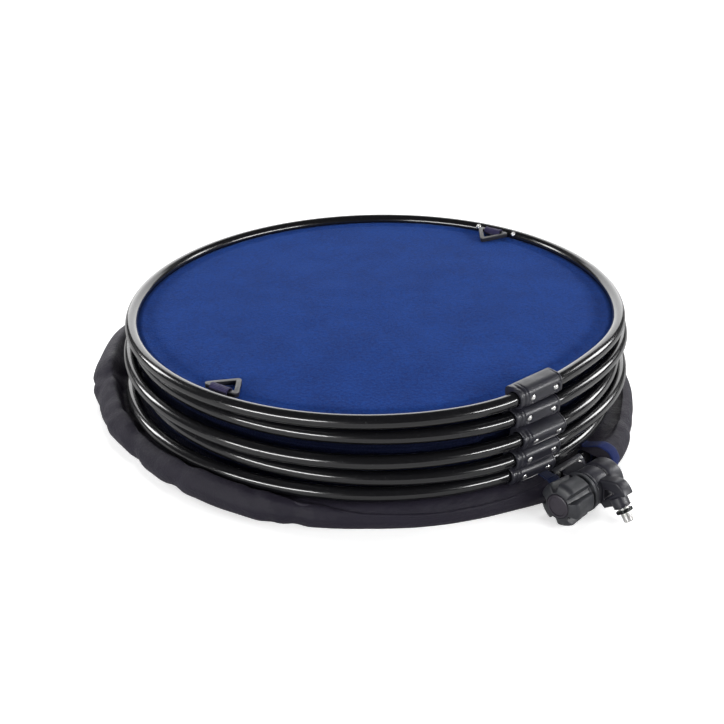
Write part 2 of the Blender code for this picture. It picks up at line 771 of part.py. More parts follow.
def build_collar(frames):
    """The black collar between the two bands that bind its ends."""
    root = frames["head_ring"].parent
    right, left = COLLAR_END["right"], COLLAR_END["left"]
    hem_reach = (TUBE_RADIUS + CLEARANCE + HEM_THICKNESS) / math.cos(math.pi / HEM_SIDES)
    band_right = collar_length(right, right + BAND_WIDTH, hem_reach)
    band_left = collar_length(left - BAND_WIDTH, left, hem_reach)
    place("collar_band_right", band_right, "blue_cloth", root)
    place("collar_band_left", band_left, "blue_cloth", root)
    gap = BAND_WIDTH + CLEARANCE
    inward = hem_reach + 2 * CLEARANCE + FLAP_THICKNESS
    roll = place("roll", collar_length(right + gap, left - gap, inward))
    flap = collar_flap(left - gap - FLAP_LAP, right + gap + FLAP_LAP, inward)
    boolean(roll, helper(flap), "UNION")
    place("collar", mesh_of(roll), "black_cloth", root)


# Tilting lock


def saddle_cutter(radius, start, end):
    return cylinder(radius / math.cos(math.pi / 16), start, end, 16, "Y")


def lock_housing(lock, ring_out, ring_up):
    """The half that screws onto the mouth ring: a saddle on the tube, a web and a round head."""
    start, end = SADDLE_SPAN
    axis = Matrix.Translation((ring_out, 0, ring_up))
    inner = TUBE_RADIUS + CLEARANCE
    outer = inner + SADDLE_WALL
    count = 9
    shell = [
        *arc((0, 0), outer, -SADDLE_ARC, SADDLE_ARC, count),
        *arc((0, 0), inner, SADDLE_ARC, -SADDLE_ARC, count),
    ]
    saddle = plate([shell], end - start)
    saddle.transform(Matrix.Rotation(math.pi / 2, 4, "X"))
    saddle.transform(Matrix.Translation((ring_out, (start + end) / 2, ring_up)))
    item = place("housing", saddle)
    head = place("head", cylinder(HOUSING_RADIUS, SERRATION_GAP, SERRATION_GAP + HOUSING_LENGTH, 24, "Y"))
    edge = head.modifiers.new("Bevel", "BEVEL")
    edge.width = HOUSING_ROUND
    edge.segments = 2
    edge.limit_method = "ANGLE"
    edge.angle_limit = math.radians(60)
    head_mesh = mesh_of(head)
    web = place("web", box(
        (ring_out + inner + SADDLE_WALL / 2, WEB_SPAN[0], ring_up - WEB_BELOW),
        (-WEB_INTO_HEAD, WEB_SPAN[1], ring_up - WEB_BELOW + WEB_HEIGHT),
    ))
    room = cylinder(ARM_RADIUS + SLIDE_CLEARANCE, 2 * WEB_SPAN[0], SERRATION_GAP, 24, "Y")
    boolean(web, helper(room), "DIFFERENCE")
    boolean(item, helper(head_mesh), "UNION")
    boolean(item, helper(mesh_of(web)), "UNION")
    bore = saddle_cutter(TUBE_RADIUS + CLEARANCE, 2 * start, 2 * end)
    boolean(item, helper(bore, axis), "DIFFERENCE")
    hole = cylinder(BOLT_RADIUS + CLEARANCE, -HOUSING_LENGTH, 2 * HOUSING_LENGTH, 16, "Y")
    boolean(item, helper(hole), "DIFFERENCE")
    nut_start = SERRATION_GAP + HOUSING_LENGTH - NUT_THICKNESS
    pocket = cylinder(NUT_RADIUS + CLEARANCE, nut_start - CLEARANCE, 2 * HOUSING_LENGTH, 6, "Y")
    boolean(item, helper(pocket), "DIFFERENCE")
    for along in SCREW_PLACES.values():
        tilt = axis @ Matrix.Translation((0, along, 0)) @ Matrix.Rotation(-SCREW_RISE, 4, "Y")
        recess = cylinder(RIVET_RECESS_RADIUS, outer - RIVET_RECESS, 2 * outer, 12, "X")
        shank = cylinder(RIVET_SHANK_RADIUS + CLEARANCE, 0, outer, 10, "X")
        boolean(item, helper(recess, tilt), "DIFFERENCE")
        boolean(item, helper(shank, tilt), "DIFFERENCE")
    place("lock_housing", mesh_of(item), "moulded_black", lock)
    seat = outer - RIVET_RECESS + CLEARANCE
    screw = rivet_mesh(seat - TUBE_RADIUS - CLEARANCE)
    for side, along in SCREW_PLACES.items():
        tilt = axis @ Matrix.Translation((0, along, 0)) @ Matrix.Rotation(-SCREW_RISE, 4, "Y")
        at = tilt @ Matrix.Translation((seat, 0, 0)) @ Matrix.Rotation(math.pi / 2, 4, "Y")
        place("lock_screw_" + side, screw, "bright_metal", lock, at)
    nut = cylinder(NUT_RADIUS, nut_start, nut_start + NUT_THICKNESS, 6, "Y")
    nut_item = place("nut", nut)
    boolean(nut_item, helper(cylinder(BOLT_RADIUS + CLEARANCE, 0, 2 * HOUSING_LENGTH, 16, "Y")), "DIFFERENCE")
    place("clamp_nut", mesh_of(nut_item), "bright_metal", lock)


def stud_matrix():
    """The stud's frame in the lock's: Z along the stud and out of it, at the boss's end face."""
    way = Vector((math.cos(STUD_ANGLE), 0, math.sin(STUD_ANGLE)))
    along = Vector((0, 1, 0))
    middle = -SERRATION_GAP - ARM_WIDTH / 2
    origin = Vector((BOSS_END[0], middle, BOSS_END[1]))
    return axes_matrix(origin, along.cross(way), along, way)


def lock_arm(lock):
    """The tilting half: a round head, and a web with a window that ends in the stud's boss."""
    stud = stud_matrix()
    drum = arc((0, 0), ARM_RADIUS - CLEARANCE, ARM_TOP_JOINS, ARM_STRUT_JOINS, 20)
    outline = [*drum, *[(x * MM, z * MM) for x, z in ARM_STRUT + ARM_TOP]]
    window = rounded([(x * MM, z * MM) for x, z in ARM_WINDOW], 0.8 * MM, 3)
    web = plate([outline, window], ARM_WEB)
    web.transform(Matrix.Rotation(math.pi / 2, 4, "X"))
    web.transform(Matrix.Translation((0, -1.5 * SERRATION_GAP - ARM_WEB / 2, 0)))
    item = place("arm", web)
    head = cylinder(ARM_RADIUS, -SERRATION_GAP - ARM_WIDTH, -SERRATION_GAP, 32, "Y")
    boolean(item, helper(head), "UNION")
    boolean(item, helper(cylinder(BOSS_RADIUS, -BOSS_LENGTH, 0, 16), stud), "UNION")
    seat = cylinder(STUD_RADIUS + CLEARANCE, -STUD_SEAT - CLEARANCE, STUD_SEAT, 16)
    boolean(item, helper(seat, stud), "DIFFERENCE")
    bore = cylinder(BOLT_RADIUS + CLEARANCE, -3 * ARM_WIDTH, ARM_WIDTH, 16, "Y")
    boolean(item, helper(bore), "DIFFERENCE")
    tilting = frame("lock_arm_pivot", Matrix(), lock)
    place("lock_arm", mesh_of(item), "moulded_black", tilting)
    shaft = [(0, STUD_EXPOSED), (STUD_RADIUS - STUD_CHAMFER, STUD_EXPOSED)]
    shaft += [(STUD_RADIUS, STUD_EXPOSED - STUD_CHAMFER)]
    shaft += [(STUD_RADIUS, -STUD_SEAT), (0, -STUD_SEAT)]
    place("threaded_stud", turned(shaft, 16), "bright_metal", tilting, stud)
    spin = frame("lock_ring_axis", stud, tilting)
    points = []
    for k in range(2 * LOCK_RING_TEETH):
        angle = math.pi * k / LOCK_RING_TEETH
        radius = LOCK_RING_RADIUS - (LOCK_RING_TOOTH if k % 2 else 0)
        points.append((radius * math.cos(angle), radius * math.sin(angle)))
    hole = arc((0, 0), (STUD_RADIUS + CLEARANCE) / math.cos(math.pi / 16), 0, 2 * math.pi, 17)[:-1]
    ring = plate([points, hole], LOCK_RING_THICKNESS)
    at = Matrix.Translation((0, 0, LOCK_RING_THICKNESS / 2 + CLEARANCE))
    place("lock_ring", ring, "black_tube", spin, at)


def knob_profile(start, end):
    """The cone of the knob's shoulder with the sides behind it, past both of the knob's ends."""
    lean = (KNOB_RADIUS - KNOB_RIM) / KNOB_SHOULDER
    front = MM - start
    behind = -start - KNOB_SHOULDER - MM
    rear = -end - MM
    sides = KNOB_RADIUS + lean * MM
    return [(0, front), (KNOB_RIM - lean * MM, front), (sides, behind), (sides, rear), (0, rear)]


def clamp_knob(lock):
    """The lobed knob with its bolt, cap and friction washer, in line along the pivot."""
    washer_end = -SERRATION_GAP - ARM_WIDTH - CLEARANCE
    washer_start = washer_end - WASHER_THICKNESS
    knob_end = washer_start - CLEARANCE
    knob_start = knob_end - KNOB_LENGTH
    hole = BOLT_RADIUS + CLEARANCE
    washer = [
        (hole, washer_end),
        (WASHER_RADIUS, washer_end),
        (WASHER_RADIUS, washer_start),
        (hole, washer_start),
    ]
    onto_pivot = Matrix.Rotation(-math.pi / 2, 4, "X")
    turning = frame("knob_axis", Matrix(), lock)
    place("friction_washer", turned(washer, 24), "moulded_black", lock, onto_pivot)
    outline = []
    steps = 8 * KNOB_LOBES
    for k in range(steps):
        angle = 2 * math.pi * k / steps
        groove = max(0, -math.cos(KNOB_LOBES * (angle - KNOB_TURN))) ** 2
        radius = KNOB_RADIUS - KNOB_GROOVE * groove
        outline.append((radius * math.cos(angle), radius * math.sin(angle)))
    body = plate([outline], KNOB_LENGTH)
    body.transform(Matrix.Rotation(math.pi / 2, 4, "X"))
    body.transform(Matrix.Translation((0, (knob_start + knob_end) / 2, 0)))
    item = place("knob", body)
    shoulder = turned(knob_profile(knob_start, knob_end), 30)
    boolean(item, helper(shoulder, Matrix.Rotation(math.pi / 2, 4, "X")), "INTERSECT")
    cap_end = knob_start + CAP_THICKNESS - CAP_PROUD
    head_end = cap_end + CLEARANCE + BOLT_HEAD
    boolean(item, helper(cylinder(hole, 2 * knob_start, 0, 16, "Y")), "DIFFERENCE")
    pocket = cylinder(BOLT_HEAD_RADIUS + CLEARANCE, 2 * knob_start, head_end + CLEARANCE, 6, "Y")
    boolean(item, helper(pocket), "DIFFERENCE")
    cap_pocket = cylinder(CAP_RADIUS + CLEARANCE, 2 * knob_start, cap_end + CLEARANCE / 2, 24, "Y")
    boolean(item, helper(cap_pocket), "DIFFERENCE")
    place("clamp_knob", mesh_of(item), "moulded_black", turning)
    face = CAP_THICKNESS - cap_end
    cap = [(0, face), (CAP_RADIUS - 2 * CAP_CHAMFER, face), (CAP_RADIUS, face - CAP_CHAMFER)]
    cap += [(CAP_RADIUS, -cap_end), (0, -cap_end)]
    place("knob_cap", turned(cap, 24), "moulded_black", turning, Matrix.Rotation(math.pi / 2, 4, "X"))
    bolt = place("bolt", cylinder(BOLT_HEAD_RADIUS, cap_end + 2 * CLEARANCE, head_end, 6, "Y"))
    shank_end = SERRATION_GAP + HOUSING_LENGTH - CLEARANCE
    boolean(bolt, helper(cylinder(BOLT_RADIUS, head_end - MM, shank_end, 12, "Y")), "UNION")
    place("clamp_bolt", mesh_of(bolt), "bright_metal", turning)


def build_lock(frames):
    """The lock in its own frame: X outward, Y along the pivot, Z up, from the pivot's middle."""
    root = frames["head_ring"].parent
    turn = Matrix.Rotation(LOCK_BEARING, 4, "Z")
    ring = turn.inverted() @ ring_matrix("head_ring") @ joint_matrix("head_ring").translation
    matrix = turn @ Matrix.Translation((ring.x + PIVOT_OUT, PIVOT_ALONG, PIVOT_HEIGHT))
    lock = frame("tilting_lock", matrix, root)
    lock_housing(lock, -PIVOT_OUT, ring.z - PIVOT_HEIGHT)
    lock_arm(lock)
    clamp_knob(lock)


def centre_on_origin(root):
    """Moves the whole part so that the middle of its bounding box stands over the origin."""
    bpy.context.view_layer.update()
    graph = bpy.context.evaluated_depsgraph_get()
    low = Vector((math.inf, math.inf))
    high = -low
    for item in collection("keepnet").objects:
        if item.type == "EMPTY":
            continue
        shown = item.evaluated_get(graph)
        mesh = shown.to_mesh()
        for vertex in mesh.vertices:
            at = shown.matrix_world @ vertex.co
            low = Vector((min(low.x, at.x), min(low.y, at.y)))
            high = Vector((max(high.x, at.x), max(high.y, at.y)))
        shown.to_mesh_clear()
    middle = (low + high) / 2
    root.location = (-middle.x, -middle.y, 0)
    print("rings' middle stands at", tuple(round(v, 5) for v in root.location))


def main():
    clear_scene()
    root = frame("keepnet_origin", Matrix(), None)
    frames = build_rings(root)
    base_disc(frames)
    for upper, lower in (("ring_1", "ring_2"), ("ring_2", "ring_3"), ("ring_3", "ring_4"), ("ring_4", "ring_5")):
        net_panel(upper, lower, root)
    build_loops(frames)
    hem(frames)
    build_collar(frames)
    build_lock(frames)
    centre_on_origin(root)


main()
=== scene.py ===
import json
import math

import bmesh
import bpy
from mathutils import Matrix, Vector, noise


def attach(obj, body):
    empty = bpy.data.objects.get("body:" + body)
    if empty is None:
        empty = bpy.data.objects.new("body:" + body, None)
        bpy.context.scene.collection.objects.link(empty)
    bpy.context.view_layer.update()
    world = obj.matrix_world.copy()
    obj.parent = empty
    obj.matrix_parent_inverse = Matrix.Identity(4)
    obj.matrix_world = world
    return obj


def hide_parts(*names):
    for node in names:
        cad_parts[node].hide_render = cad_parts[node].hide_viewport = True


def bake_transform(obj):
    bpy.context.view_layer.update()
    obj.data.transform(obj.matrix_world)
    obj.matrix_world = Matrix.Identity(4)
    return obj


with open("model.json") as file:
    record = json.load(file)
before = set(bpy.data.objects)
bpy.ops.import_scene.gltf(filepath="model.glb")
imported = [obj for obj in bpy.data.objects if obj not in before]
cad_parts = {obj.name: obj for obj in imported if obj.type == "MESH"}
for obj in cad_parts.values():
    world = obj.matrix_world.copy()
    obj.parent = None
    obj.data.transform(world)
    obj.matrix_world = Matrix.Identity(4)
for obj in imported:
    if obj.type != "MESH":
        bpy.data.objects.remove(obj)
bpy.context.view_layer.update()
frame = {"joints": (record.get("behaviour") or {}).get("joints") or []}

# A round keepnet, collapsed and standing on its mouth. Metres, +Z up, in the CAD frame.
MM = 0.001
UP = Vector((0, 0, 1))
TURN = 2 * math.pi

# Tube rings, as the CAD has them
TUBE_RADIUS = 6.35 * MM
PATH_RADIUS = 500 * MM / 2 - TUBE_RADIUS
FLAT_CENTRE = math.radians(-42)
FLAT_HALF = math.radians(30)
RING_STEPS = 48
STEP = TURN / RING_STEPS
# Each ring's middle from the rings' own in millimetres, its tilts in degrees, its sleeve's bearing and
# roll in degrees, and how far its tube is pulled in at its flat in millimetres
RINGS = {
    "ring_1": dict(z=104.0, x=0.0, y=0.0, tilt_x=1.4, tilt_y=1.0, sleeve=-54.35, pull=7.0, roll=0),
    "ring_2": dict(z=87.6, x=4.5, y=2.8, tilt_x=0.7, tilt_y=0.95, sleeve=-56.35, pull=5.0, roll=-3),
    "ring_3": dict(z=70.1, x=-3.0, y=-3.8, tilt_x=0.1, tilt_y=1.6, sleeve=-52.35, pull=1.0, roll=-20),
    "ring_4": dict(z=53.5, x=7.0, y=0.0, tilt_x=0.2, tilt_y=1.9, sleeve=-56.35, pull=4.0, roll=-5),
    "ring_5": dict(z=28.5, x=-5.6, y=-1.2, tilt_x=-0.3, tilt_y=-0.4, sleeve=-53.85, pull=0.0, roll=-20),
    "head_ring": dict(z=12.0, x=2.5, y=-2.5, tilt_x=0, tilt_y=0, sleeve=-46.0, pull=0.0, roll=0),
}
RING_BODIES = {ring: {"ring_1": "base", "head_ring": "head"}.get(ring, ring) for ring in RINGS}

# The lock's pivot, from the frame, and with it the rings' middle
LOCK_BEARING = math.radians(-46)
PIVOT_REACH = 284.6 * MM
PIVOT_ALONG = -1 * MM
pivot = Vector(next(joint["pos_m"] for joint in frame["joints"] if joint["name"] == "arm_tilt"))
LOCK = Matrix.Translation(pivot) @ Matrix.Rotation(LOCK_BEARING, 4, "Z")
MIDDLE = LOCK @ Vector((-PIVOT_REACH, -PIVOT_ALONG, 0))
MIDDLE.z = 0

# Camera, fitted to the photograph's ring ellipses
CAMERA_FROM_MIDDLE = Vector((0, -1.0126, 0.5337))
CAMERA_AHEAD = Vector((-0.0108, 0.8968, -0.4423))
CAMERA_RIGHT = Vector((0.9999, 0.0134, 0.0027))
CAMERA_LENS = 53.52


# Angles, shares and lengths


def outward(bearing):
    """The level direction at a bearing."""
    return Vector((math.cos(bearing), math.sin(bearing), 0))


def angle_from(start, angle, turn=TURN):
    """The turn from one angle to another, at most half a turn either way."""
    return (angle - start + turn / 2) % turn - turn / 2


def eased(share):
    """A share kept to 0 to 1, with a soft start and end."""
    share = min(1, max(0, share))
    return share * share * (3 - 2 * share)


def lengths_along(points):
    """How far along a line each of its points lies."""
    lengths = [0.0]
    for before, after in zip(points[:-1], points[1:]):
        lengths.append(lengths[-1] + math.dist(before, after))
    return lengths


def wander(x, y, z, size):
    """Smooth noise from -1 to 1."""
    return noise.noise(Vector((x, y, z)) / size)


# Nodes


def feed(tree, socket, value):
    """A link from another socket, or a value. A colour's three numbers get their alpha."""
    value = getattr(value, "socket", value)
    if isinstance(value, bpy.types.NodeSocket):
        tree.links.new(value, socket)
    elif isinstance(value, tuple) and len(value) == 3 and socket.type == "RGBA":
        socket.default_value = (*value, 1)
    else:
        socket.default_value = value


def add_node(tree, kind, inputs=None, **settings):
    """A node with its settings, then the values or links of its sockets."""
    made = tree.nodes.new(kind)
    for name, value in settings.items():
        setattr(made, name, value)
    for name, value in (inputs or {}).items():
        feed(tree, made.inputs[name], value)
    return made


def sum_on(operation, swapped=False):
    """A method that adds a Math node, with its own value second if it is swapped."""
    def method(self, other=0.0):
        pair = (other, self) if swapped else (self, other)
        return self.finish.node("ShaderNodeMath", dict(enumerate(pair)), operation=operation)
    return method


# Materials


class Value:
    """A number in a shader, so that sums on it are written as Python."""

    def __init__(self, finish, socket):
        self.finish = finish
        self.socket = socket

    __add__, __radd__ = sum_on("ADD"), sum_on("ADD", swapped=True)
    __sub__, __rsub__ = sum_on("SUBTRACT"), sum_on("SUBTRACT", swapped=True)
    __mul__, __rmul__ = sum_on("MULTIPLY"), sum_on("MULTIPLY", swapped=True)
    highest = sum_on("MAXIMUM")
    sine = sum_on("SINE")
    size = sum_on("ABSOLUTE")
    part = sum_on("FRACT")

    def between(self, low, high):
        """0 below low, 1 above high, and smooth in between."""
        values = {"Value": self, "From Min": low, "From Max": high}
        return self.finish.node("ShaderNodeMapRange", values, interpolation_type="SMOOTHSTEP")

    def wave(self, pitch):
        """A sine from 0 to 1 with this pitch."""
        return (self * (TURN / pitch)).sine() * 0.5 + 0.5


class Finish:
    """One material and its shader's nodes."""

    def __init__(self, name, **fixed):
        self.material = bpy.data.materials.new(name)
        self.material.use_nodes = True
        self.tree = self.material.node_tree
        self.surface(**fixed)

    def node(self, kind, inputs=None, output=0, **settings):
        return Value(self, add_node(self.tree, kind, inputs, **settings).outputs[output])

    def surface(self, **values):
        shader = self.tree.nodes["Principled BSDF"]
        for name, value in values.items():
            feed(self.tree, shader.inputs[name.replace("_", " ")], value)
        return self.material

    def place(self):
        return self.node("ShaderNodeTexCoord", output="Object")

    def along(self, point):
        """The three numbers of a point."""
        outputs = add_node(self.tree, "ShaderNodeSeparateXYZ", {0: point}).outputs
        return [Value(self, output) for output in outputs]

    def cloth_place(self):
        """The piece's own map: metres round it and metres along the cloth."""
        return self.along(self.node("ShaderNodeUVMap", uv_map="cloth"))[:2]

    def stretched(self, point, scale):
        return self.node("ShaderNodeVectorMath", {0: point, 1: scale}, operation="MULTIPLY")

    def noise(self, point, size, detail=2.0, rough=0.5):
        """Noise from 0 to 1 whose lumps have this size in metres."""
        inputs = {"Vector": point, "Scale": 1 / size, "Detail": detail, "Roughness": rough}
        return self.node("ShaderNodeTexNoise", inputs)

    def mix(self, factor, first, second):
        return self.node("ShaderNodeMix", {0: factor, 6: first, 7: second}, 2, data_type="RGBA")

    def bump(self, height, distance, strength=1.0):
        return self.node("ShaderNodeBump", {"Height": height, "Distance": distance, "Strength": strength})


def black_tube():
    """Glossy black coating over metal tube, with a faint ripple and dust."""
    finish = Finish("glossy_black_tube", Coat_Weight=0.4, Coat_Roughness=0.06, Specular_IOR_Level=0.5)
    place = finish.place()
    dust = finish.noise(place, 3 * MM, 4.0, 0.7).between(0.5, 0.75)
    ripple = finish.noise(place, 22 * MM, 1.0)
    return finish.surface(
        Base_Color=finish.mix(dust * 0.5, (0.004, 0.004, 0.005), (0.012, 0.012, 0.014)),
        Roughness=0.17 + 0.08 * dust + 0.06 * ripple,
        Normal=finish.bump(ripple, 0.12 * MM),
    )


def moulded_plastic(name, colour, rough):
    """Moulded black plastic with a fine spark-eroded grain and rubbed patches."""
    finish = Finish(name, Specular_IOR_Level=0.5)
    place = finish.place()
    grain = finish.noise(place, 0.35 * MM, 2.0, 0.6)
    rubbed = finish.noise(place, 9 * MM, 3.0).between(0.42, 0.7)
    paler = tuple(channel * 1.55 for channel in colour)
    return finish.surface(
        Base_Color=finish.mix(rubbed * 0.7, colour, paler),
        Roughness=rough + 0.12 * grain - 0.1 * rubbed,
        Normal=finish.bump(grain, 0.035 * MM),
    )


def bright_metal():
    """Plated steel with fine scratches."""
    finish = Finish("bright_plate", Metallic=1.0)
    place = finish.place()
    scratch = finish.noise(finish.stretched(place, (1, 1, 9)), 1.2 * MM, 3.0)
    return finish.surface(
        Base_Color=finish.mix(scratch, (0.62, 0.61, 0.60), (0.88, 0.87, 0.84)),
        Roughness=0.26 + 0.14 * scratch,
        Normal=finish.bump(scratch, 0.02 * MM),
    )


def blackened_steel():
    """Steel with a black finish, bright in rubbed patches scattered over it."""
    finish = Finish("blackened_steel", Metallic=1.0)
    rubbed = finish.noise(finish.place(), 1.4 * MM, 3.0).between(0.55, 0.75)
    return finish.surface(
        Base_Color=finish.mix(rubbed, (0.030, 0.032, 0.032), (0.30, 0.30, 0.29)),
        Roughness=0.3 - 0.1 * rubbed,
    )


def worn_rivet():
    """Aluminium rivet heads, with fine brighter specks."""
    finish = Finish("aluminium_rivet", Metallic=1.0)
    speck = finish.noise(finish.place(), 0.6 * MM, 3.0)
    return finish.surface(
        Base_Color=finish.mix(speck, (0.72, 0.72, 0.71), (0.97, 0.96, 0.94)),
        Roughness=0.22 + 0.2 * speck,
    )


def blue_disc_cloth():
    """Fine blue cloth with a soft nap."""
    finish = Finish("blue_nap_cloth", Sheen_Weight=0.2, Sheen_Roughness=0.45, Sheen_Tint=(0.16, 0.30, 0.80),
                    Specular_IOR_Level=0.06)
    place = finish.place()
    x, y, _ = finish.along(place)
    pitch = 0.9 * MM
    weave = (x * (TURN / pitch)).sine() * (y * (TURN / pitch)).sine() * 0.5 + 0.5
    nap = finish.noise(place, 3.0 * MM, 3.0, 0.7).between(0.3, 0.7)
    lint = finish.noise(place, 1.2 * MM, 2.0, 0.6).between(0.3, 0.7)
    cloud = finish.noise(place, 45 * MM, 3.0, 0.6).between(0.3, 0.7)
    shade = nap * 0.4 + lint * 0.3 + cloud * 0.2 + weave * 0.1
    return finish.surface(
        Base_Color=finish.mix(shade, (0.002, 0.009, 0.070), (0.008, 0.046, 0.245)),
        Roughness=0.82 + 0.1 * nap,
        Normal=finish.bump(nap * 0.7 + weave * 0.3, 0.28 * MM),
    )


def black_collar_cloth():
    """Tightly woven black nylon, a little shiny, with creases."""
    finish = Finish("black_nylon_cloth", Sheen_Weight=0.04, Sheen_Roughness=0.5, Sheen_Tint=(0.5, 0.47, 0.6),
                    Specular_IOR_Level=0.2)
    place = finish.place()
    round_it, down_it = finish.cloth_place()
    pitch = 0.8 * MM
    weave = (round_it * (TURN / pitch)).sine() * (down_it * (TURN / pitch)).sine()
    crease = finish.noise(finish.stretched(place, (1, 1, 1.6)), 14 * MM, 4.0, 0.55)
    fine = finish.noise(place, 2.5 * MM)
    shade = finish.noise(place, 60 * MM)
    return finish.surface(
        Base_Color=finish.mix(shade * 0.6 + fine * 0.25, (0.007, 0.006, 0.011), (0.021, 0.018, 0.030)),
        Roughness=0.42 + 0.16 * fine,
        Normal=finish.bump(crease + fine * 0.08 + weave * 0.02, 2.4 * MM, 0.8),
    )


def knotless_net():
    """Fine dark blue net: yarns with open meshes between them."""
    finish = Finish("dark_blue_net", Sheen_Weight=0.05, Sheen_Roughness=0.5, Sheen_Tint=(0.3, 0.4, 0.9),
                    Specular_IOR_Level=0.1)
    round_it, down_it = finish.cloth_place()
    pitch = 3.2 * MM
    slant = (round_it + down_it) * (1 / pitch)
    counter = (round_it - down_it) * (1 / pitch)
    yarn = (slant.part() - 0.5).size().highest((counter.part() - 0.5).size())
    twist = (slant * 3 + counter * 5).wave(1)
    return finish.surface(
        Base_Color=finish.mix(twist, (0.001, 0.002, 0.012), (0.004, 0.008, 0.036)),
        Roughness=0.8,
        Alpha=yarn.between(0.26, 0.32),
        Normal=finish.bump(yarn + twist * 0.15, 0.8 * MM),
    )


def ribbed_binding(name, dark, light, pitch, sheen):
    """Woven binding tape whose ribs run along it."""
    finish = Finish(name, Sheen_Weight=sheen, Sheen_Roughness=0.4, Specular_IOR_Level=0.3)
    round_it, down_it = finish.cloth_place()
    rib = down_it.wave(pitch)
    lint = finish.noise(finish.place(), 2 * MM, 3.0)
    return finish.surface(
        Base_Color=finish.mix(rib * 0.6 + lint * 0.4, dark, light),
        Roughness=0.6 + 0.25 * lint,
        Normal=finish.bump(rib + round_it.wave(pitch * 0.8) * 0.3 + lint * 0.2, 0.35 * MM),
    )


def floor_white():
    """A white floor that the camera sees as white but for the object's soft shadow, and brighter far
    off, where no lamp reaches it."""
    finish = Finish("white_floor", Emission_Strength=0.5, Specular_IOR_Level=0.1)
    seen = finish.node("ShaderNodeLightPath", output="Is Camera Ray")
    mirrored = finish.node("ShaderNodeLightPath", output="Is Glossy Ray")
    x, y, _ = finish.along(finish.place())
    far_off = (x * x + y * y).between(FLOOR_NEAR ** 2, FLOOR_FAR ** 2)
    glow = finish.mix(seen.highest(mirrored * 0.4), (0.16, 0.16, 0.16), (1, 1, 1))
    return finish.surface(
        Base_Color=finish.mix(seen, (0.35, 0.35, 0.35), (0.88, 0.88, 0.88)),
        Roughness=0.95,
        Emission_Color=finish.mix(seen * far_off, glow, (1.4, 1.4, 1.4)),
    )


TUBE = black_tube()
PLASTIC = moulded_plastic("moulded_black_plastic", (0.015, 0.015, 0.021), 0.33)
DARK_PLASTIC = moulded_plastic("dark_black_plastic", (0.010, 0.010, 0.014), 0.36)
KNOB_PLASTIC = moulded_plastic("blue_grey_knob_plastic", (0.019, 0.020, 0.024), 0.42)
CAP_PLASTIC = moulded_plastic("plum_grey_cap_plastic", (0.022, 0.018, 0.026), 0.40)
METAL = bright_metal()
BLACKENED = blackened_steel()
RIVET = worn_rivet()
DISC_CLOTH = blue_disc_cloth()
COLLAR_CLOTH = black_collar_cloth()
NET = knotless_net()
BLUE_TAPE = ribbed_binding("blue_binding_tape", (0.001, 0.004, 0.034), (0.003, 0.020, 0.15), 1.1 * MM, 0.06)
NAVY_TAPE = ribbed_binding("navy_webbing_tape", (0.012, 0.010, 0.038), (0.042, 0.035, 0.110), 1.2 * MM, 0.15)
# The hem's cloth, also used for the left band in place of its blue tape: painted shade for that band, which
# lies in shade beside the lock
HEM_AND_SHADED_BAND_CLOTH = ribbed_binding("blue_hem_and_shaded_band_cloth", (0.001, 0.003, 0.02), (0.004, 0.012, 0.06), 1.6 * MM, 0.06)


# Meshes

Z_ONTO_Y = Matrix.Rotation(-math.pi / 2, 4, "X")
Z_AWAY_FROM_Y = Matrix.Rotation(math.pi / 2, 4, "X")
Z_ONTO_X = Matrix.Rotation(math.pi / 2, 4, "Y")


def show(name, mesh, material, body, stands_for=(), smooth=40):
    """A finished piece at the origin, riding on a body in place of its CAD nodes."""
    item = in_scene(name, mesh)
    mesh.materials.clear()
    mesh.materials.append(material)
    mesh.shade_smooth()
    if smooth:
        mesh.set_sharp_from_angle(angle=math.radians(smooth))
    if body:
        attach(item, body)
    if stands_for:
        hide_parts(*stands_for)
    return item


def in_scene(name, data):
    item = bpy.data.objects.new(name, data)
    bpy.context.scene.collection.objects.link(item)
    return item


def moved(mesh, matrix):
    """The mesh itself, moved by a matrix."""
    mesh.transform(matrix)
    return mesh


def mesh_from(shape):
    mesh = bpy.data.meshes.new("shape")
    shape.to_mesh(mesh)
    shape.free()
    return mesh


def axes_matrix(origin, x_axis, y_axis, z_axis):
    matrix = Matrix((x_axis, y_axis, z_axis)).transposed().to_4x4()
    matrix.translation = origin
    return matrix


def grid_skin(rows, closed_round, closed_along=False, caps=False, uvs=None):
    """A skin through rows of points, with an optional map of metres for each point."""
    shape = bmesh.new()
    made = [[shape.verts.new(point) for point in row] for row in rows]
    layer = shape.loops.layers.uv.new("cloth") if uvs else None
    count = len(rows[0])
    across = range(count if closed_round else count - 1)
    for i in range(len(rows) if closed_along else len(rows) - 1):
        ahead = (i + 1) % len(rows)
        for j in across:
            k = (j + 1) % count
            corners = [(i, j), (i, j + 1), (i + 1, j + 1), (i + 1, j)]
            face = shape.faces.new((made[i][j], made[i][k], made[ahead][k], made[ahead][j]))
            if uvs:
                for loop, (row, column) in zip(face.loops, corners):
                    loop[layer].uv = uvs(row, column)
    if caps:
        shape.faces.new(reversed(made[0]))
        shape.faces.new(made[-1])
    bmesh.ops.recalc_face_normals(shape, faces=shape.faces)
    return mesh_from(shape)


def thicken(mesh, thickness, offset=0.0):
    """A wall of this thickness on an open sheet, its rim closed: about it, or behind it at -1."""
    item = in_scene("sheet", mesh)
    wall = item.modifiers.new("Wall", "SOLIDIFY")
    wall.thickness = thickness
    wall.offset = offset
    wall.use_rim = True
    return baked(item)


def baked(item):
    """The evaluated mesh of an object, in the row frame. The object goes."""
    bpy.context.view_layer.update()
    graph = bpy.context.evaluated_depsgraph_get()
    mesh = bpy.data.meshes.new_from_object(item.evaluated_get(graph))
    mesh.transform(item.matrix_world)
    bpy.data.objects.remove(item, do_unlink=True)
    return mesh


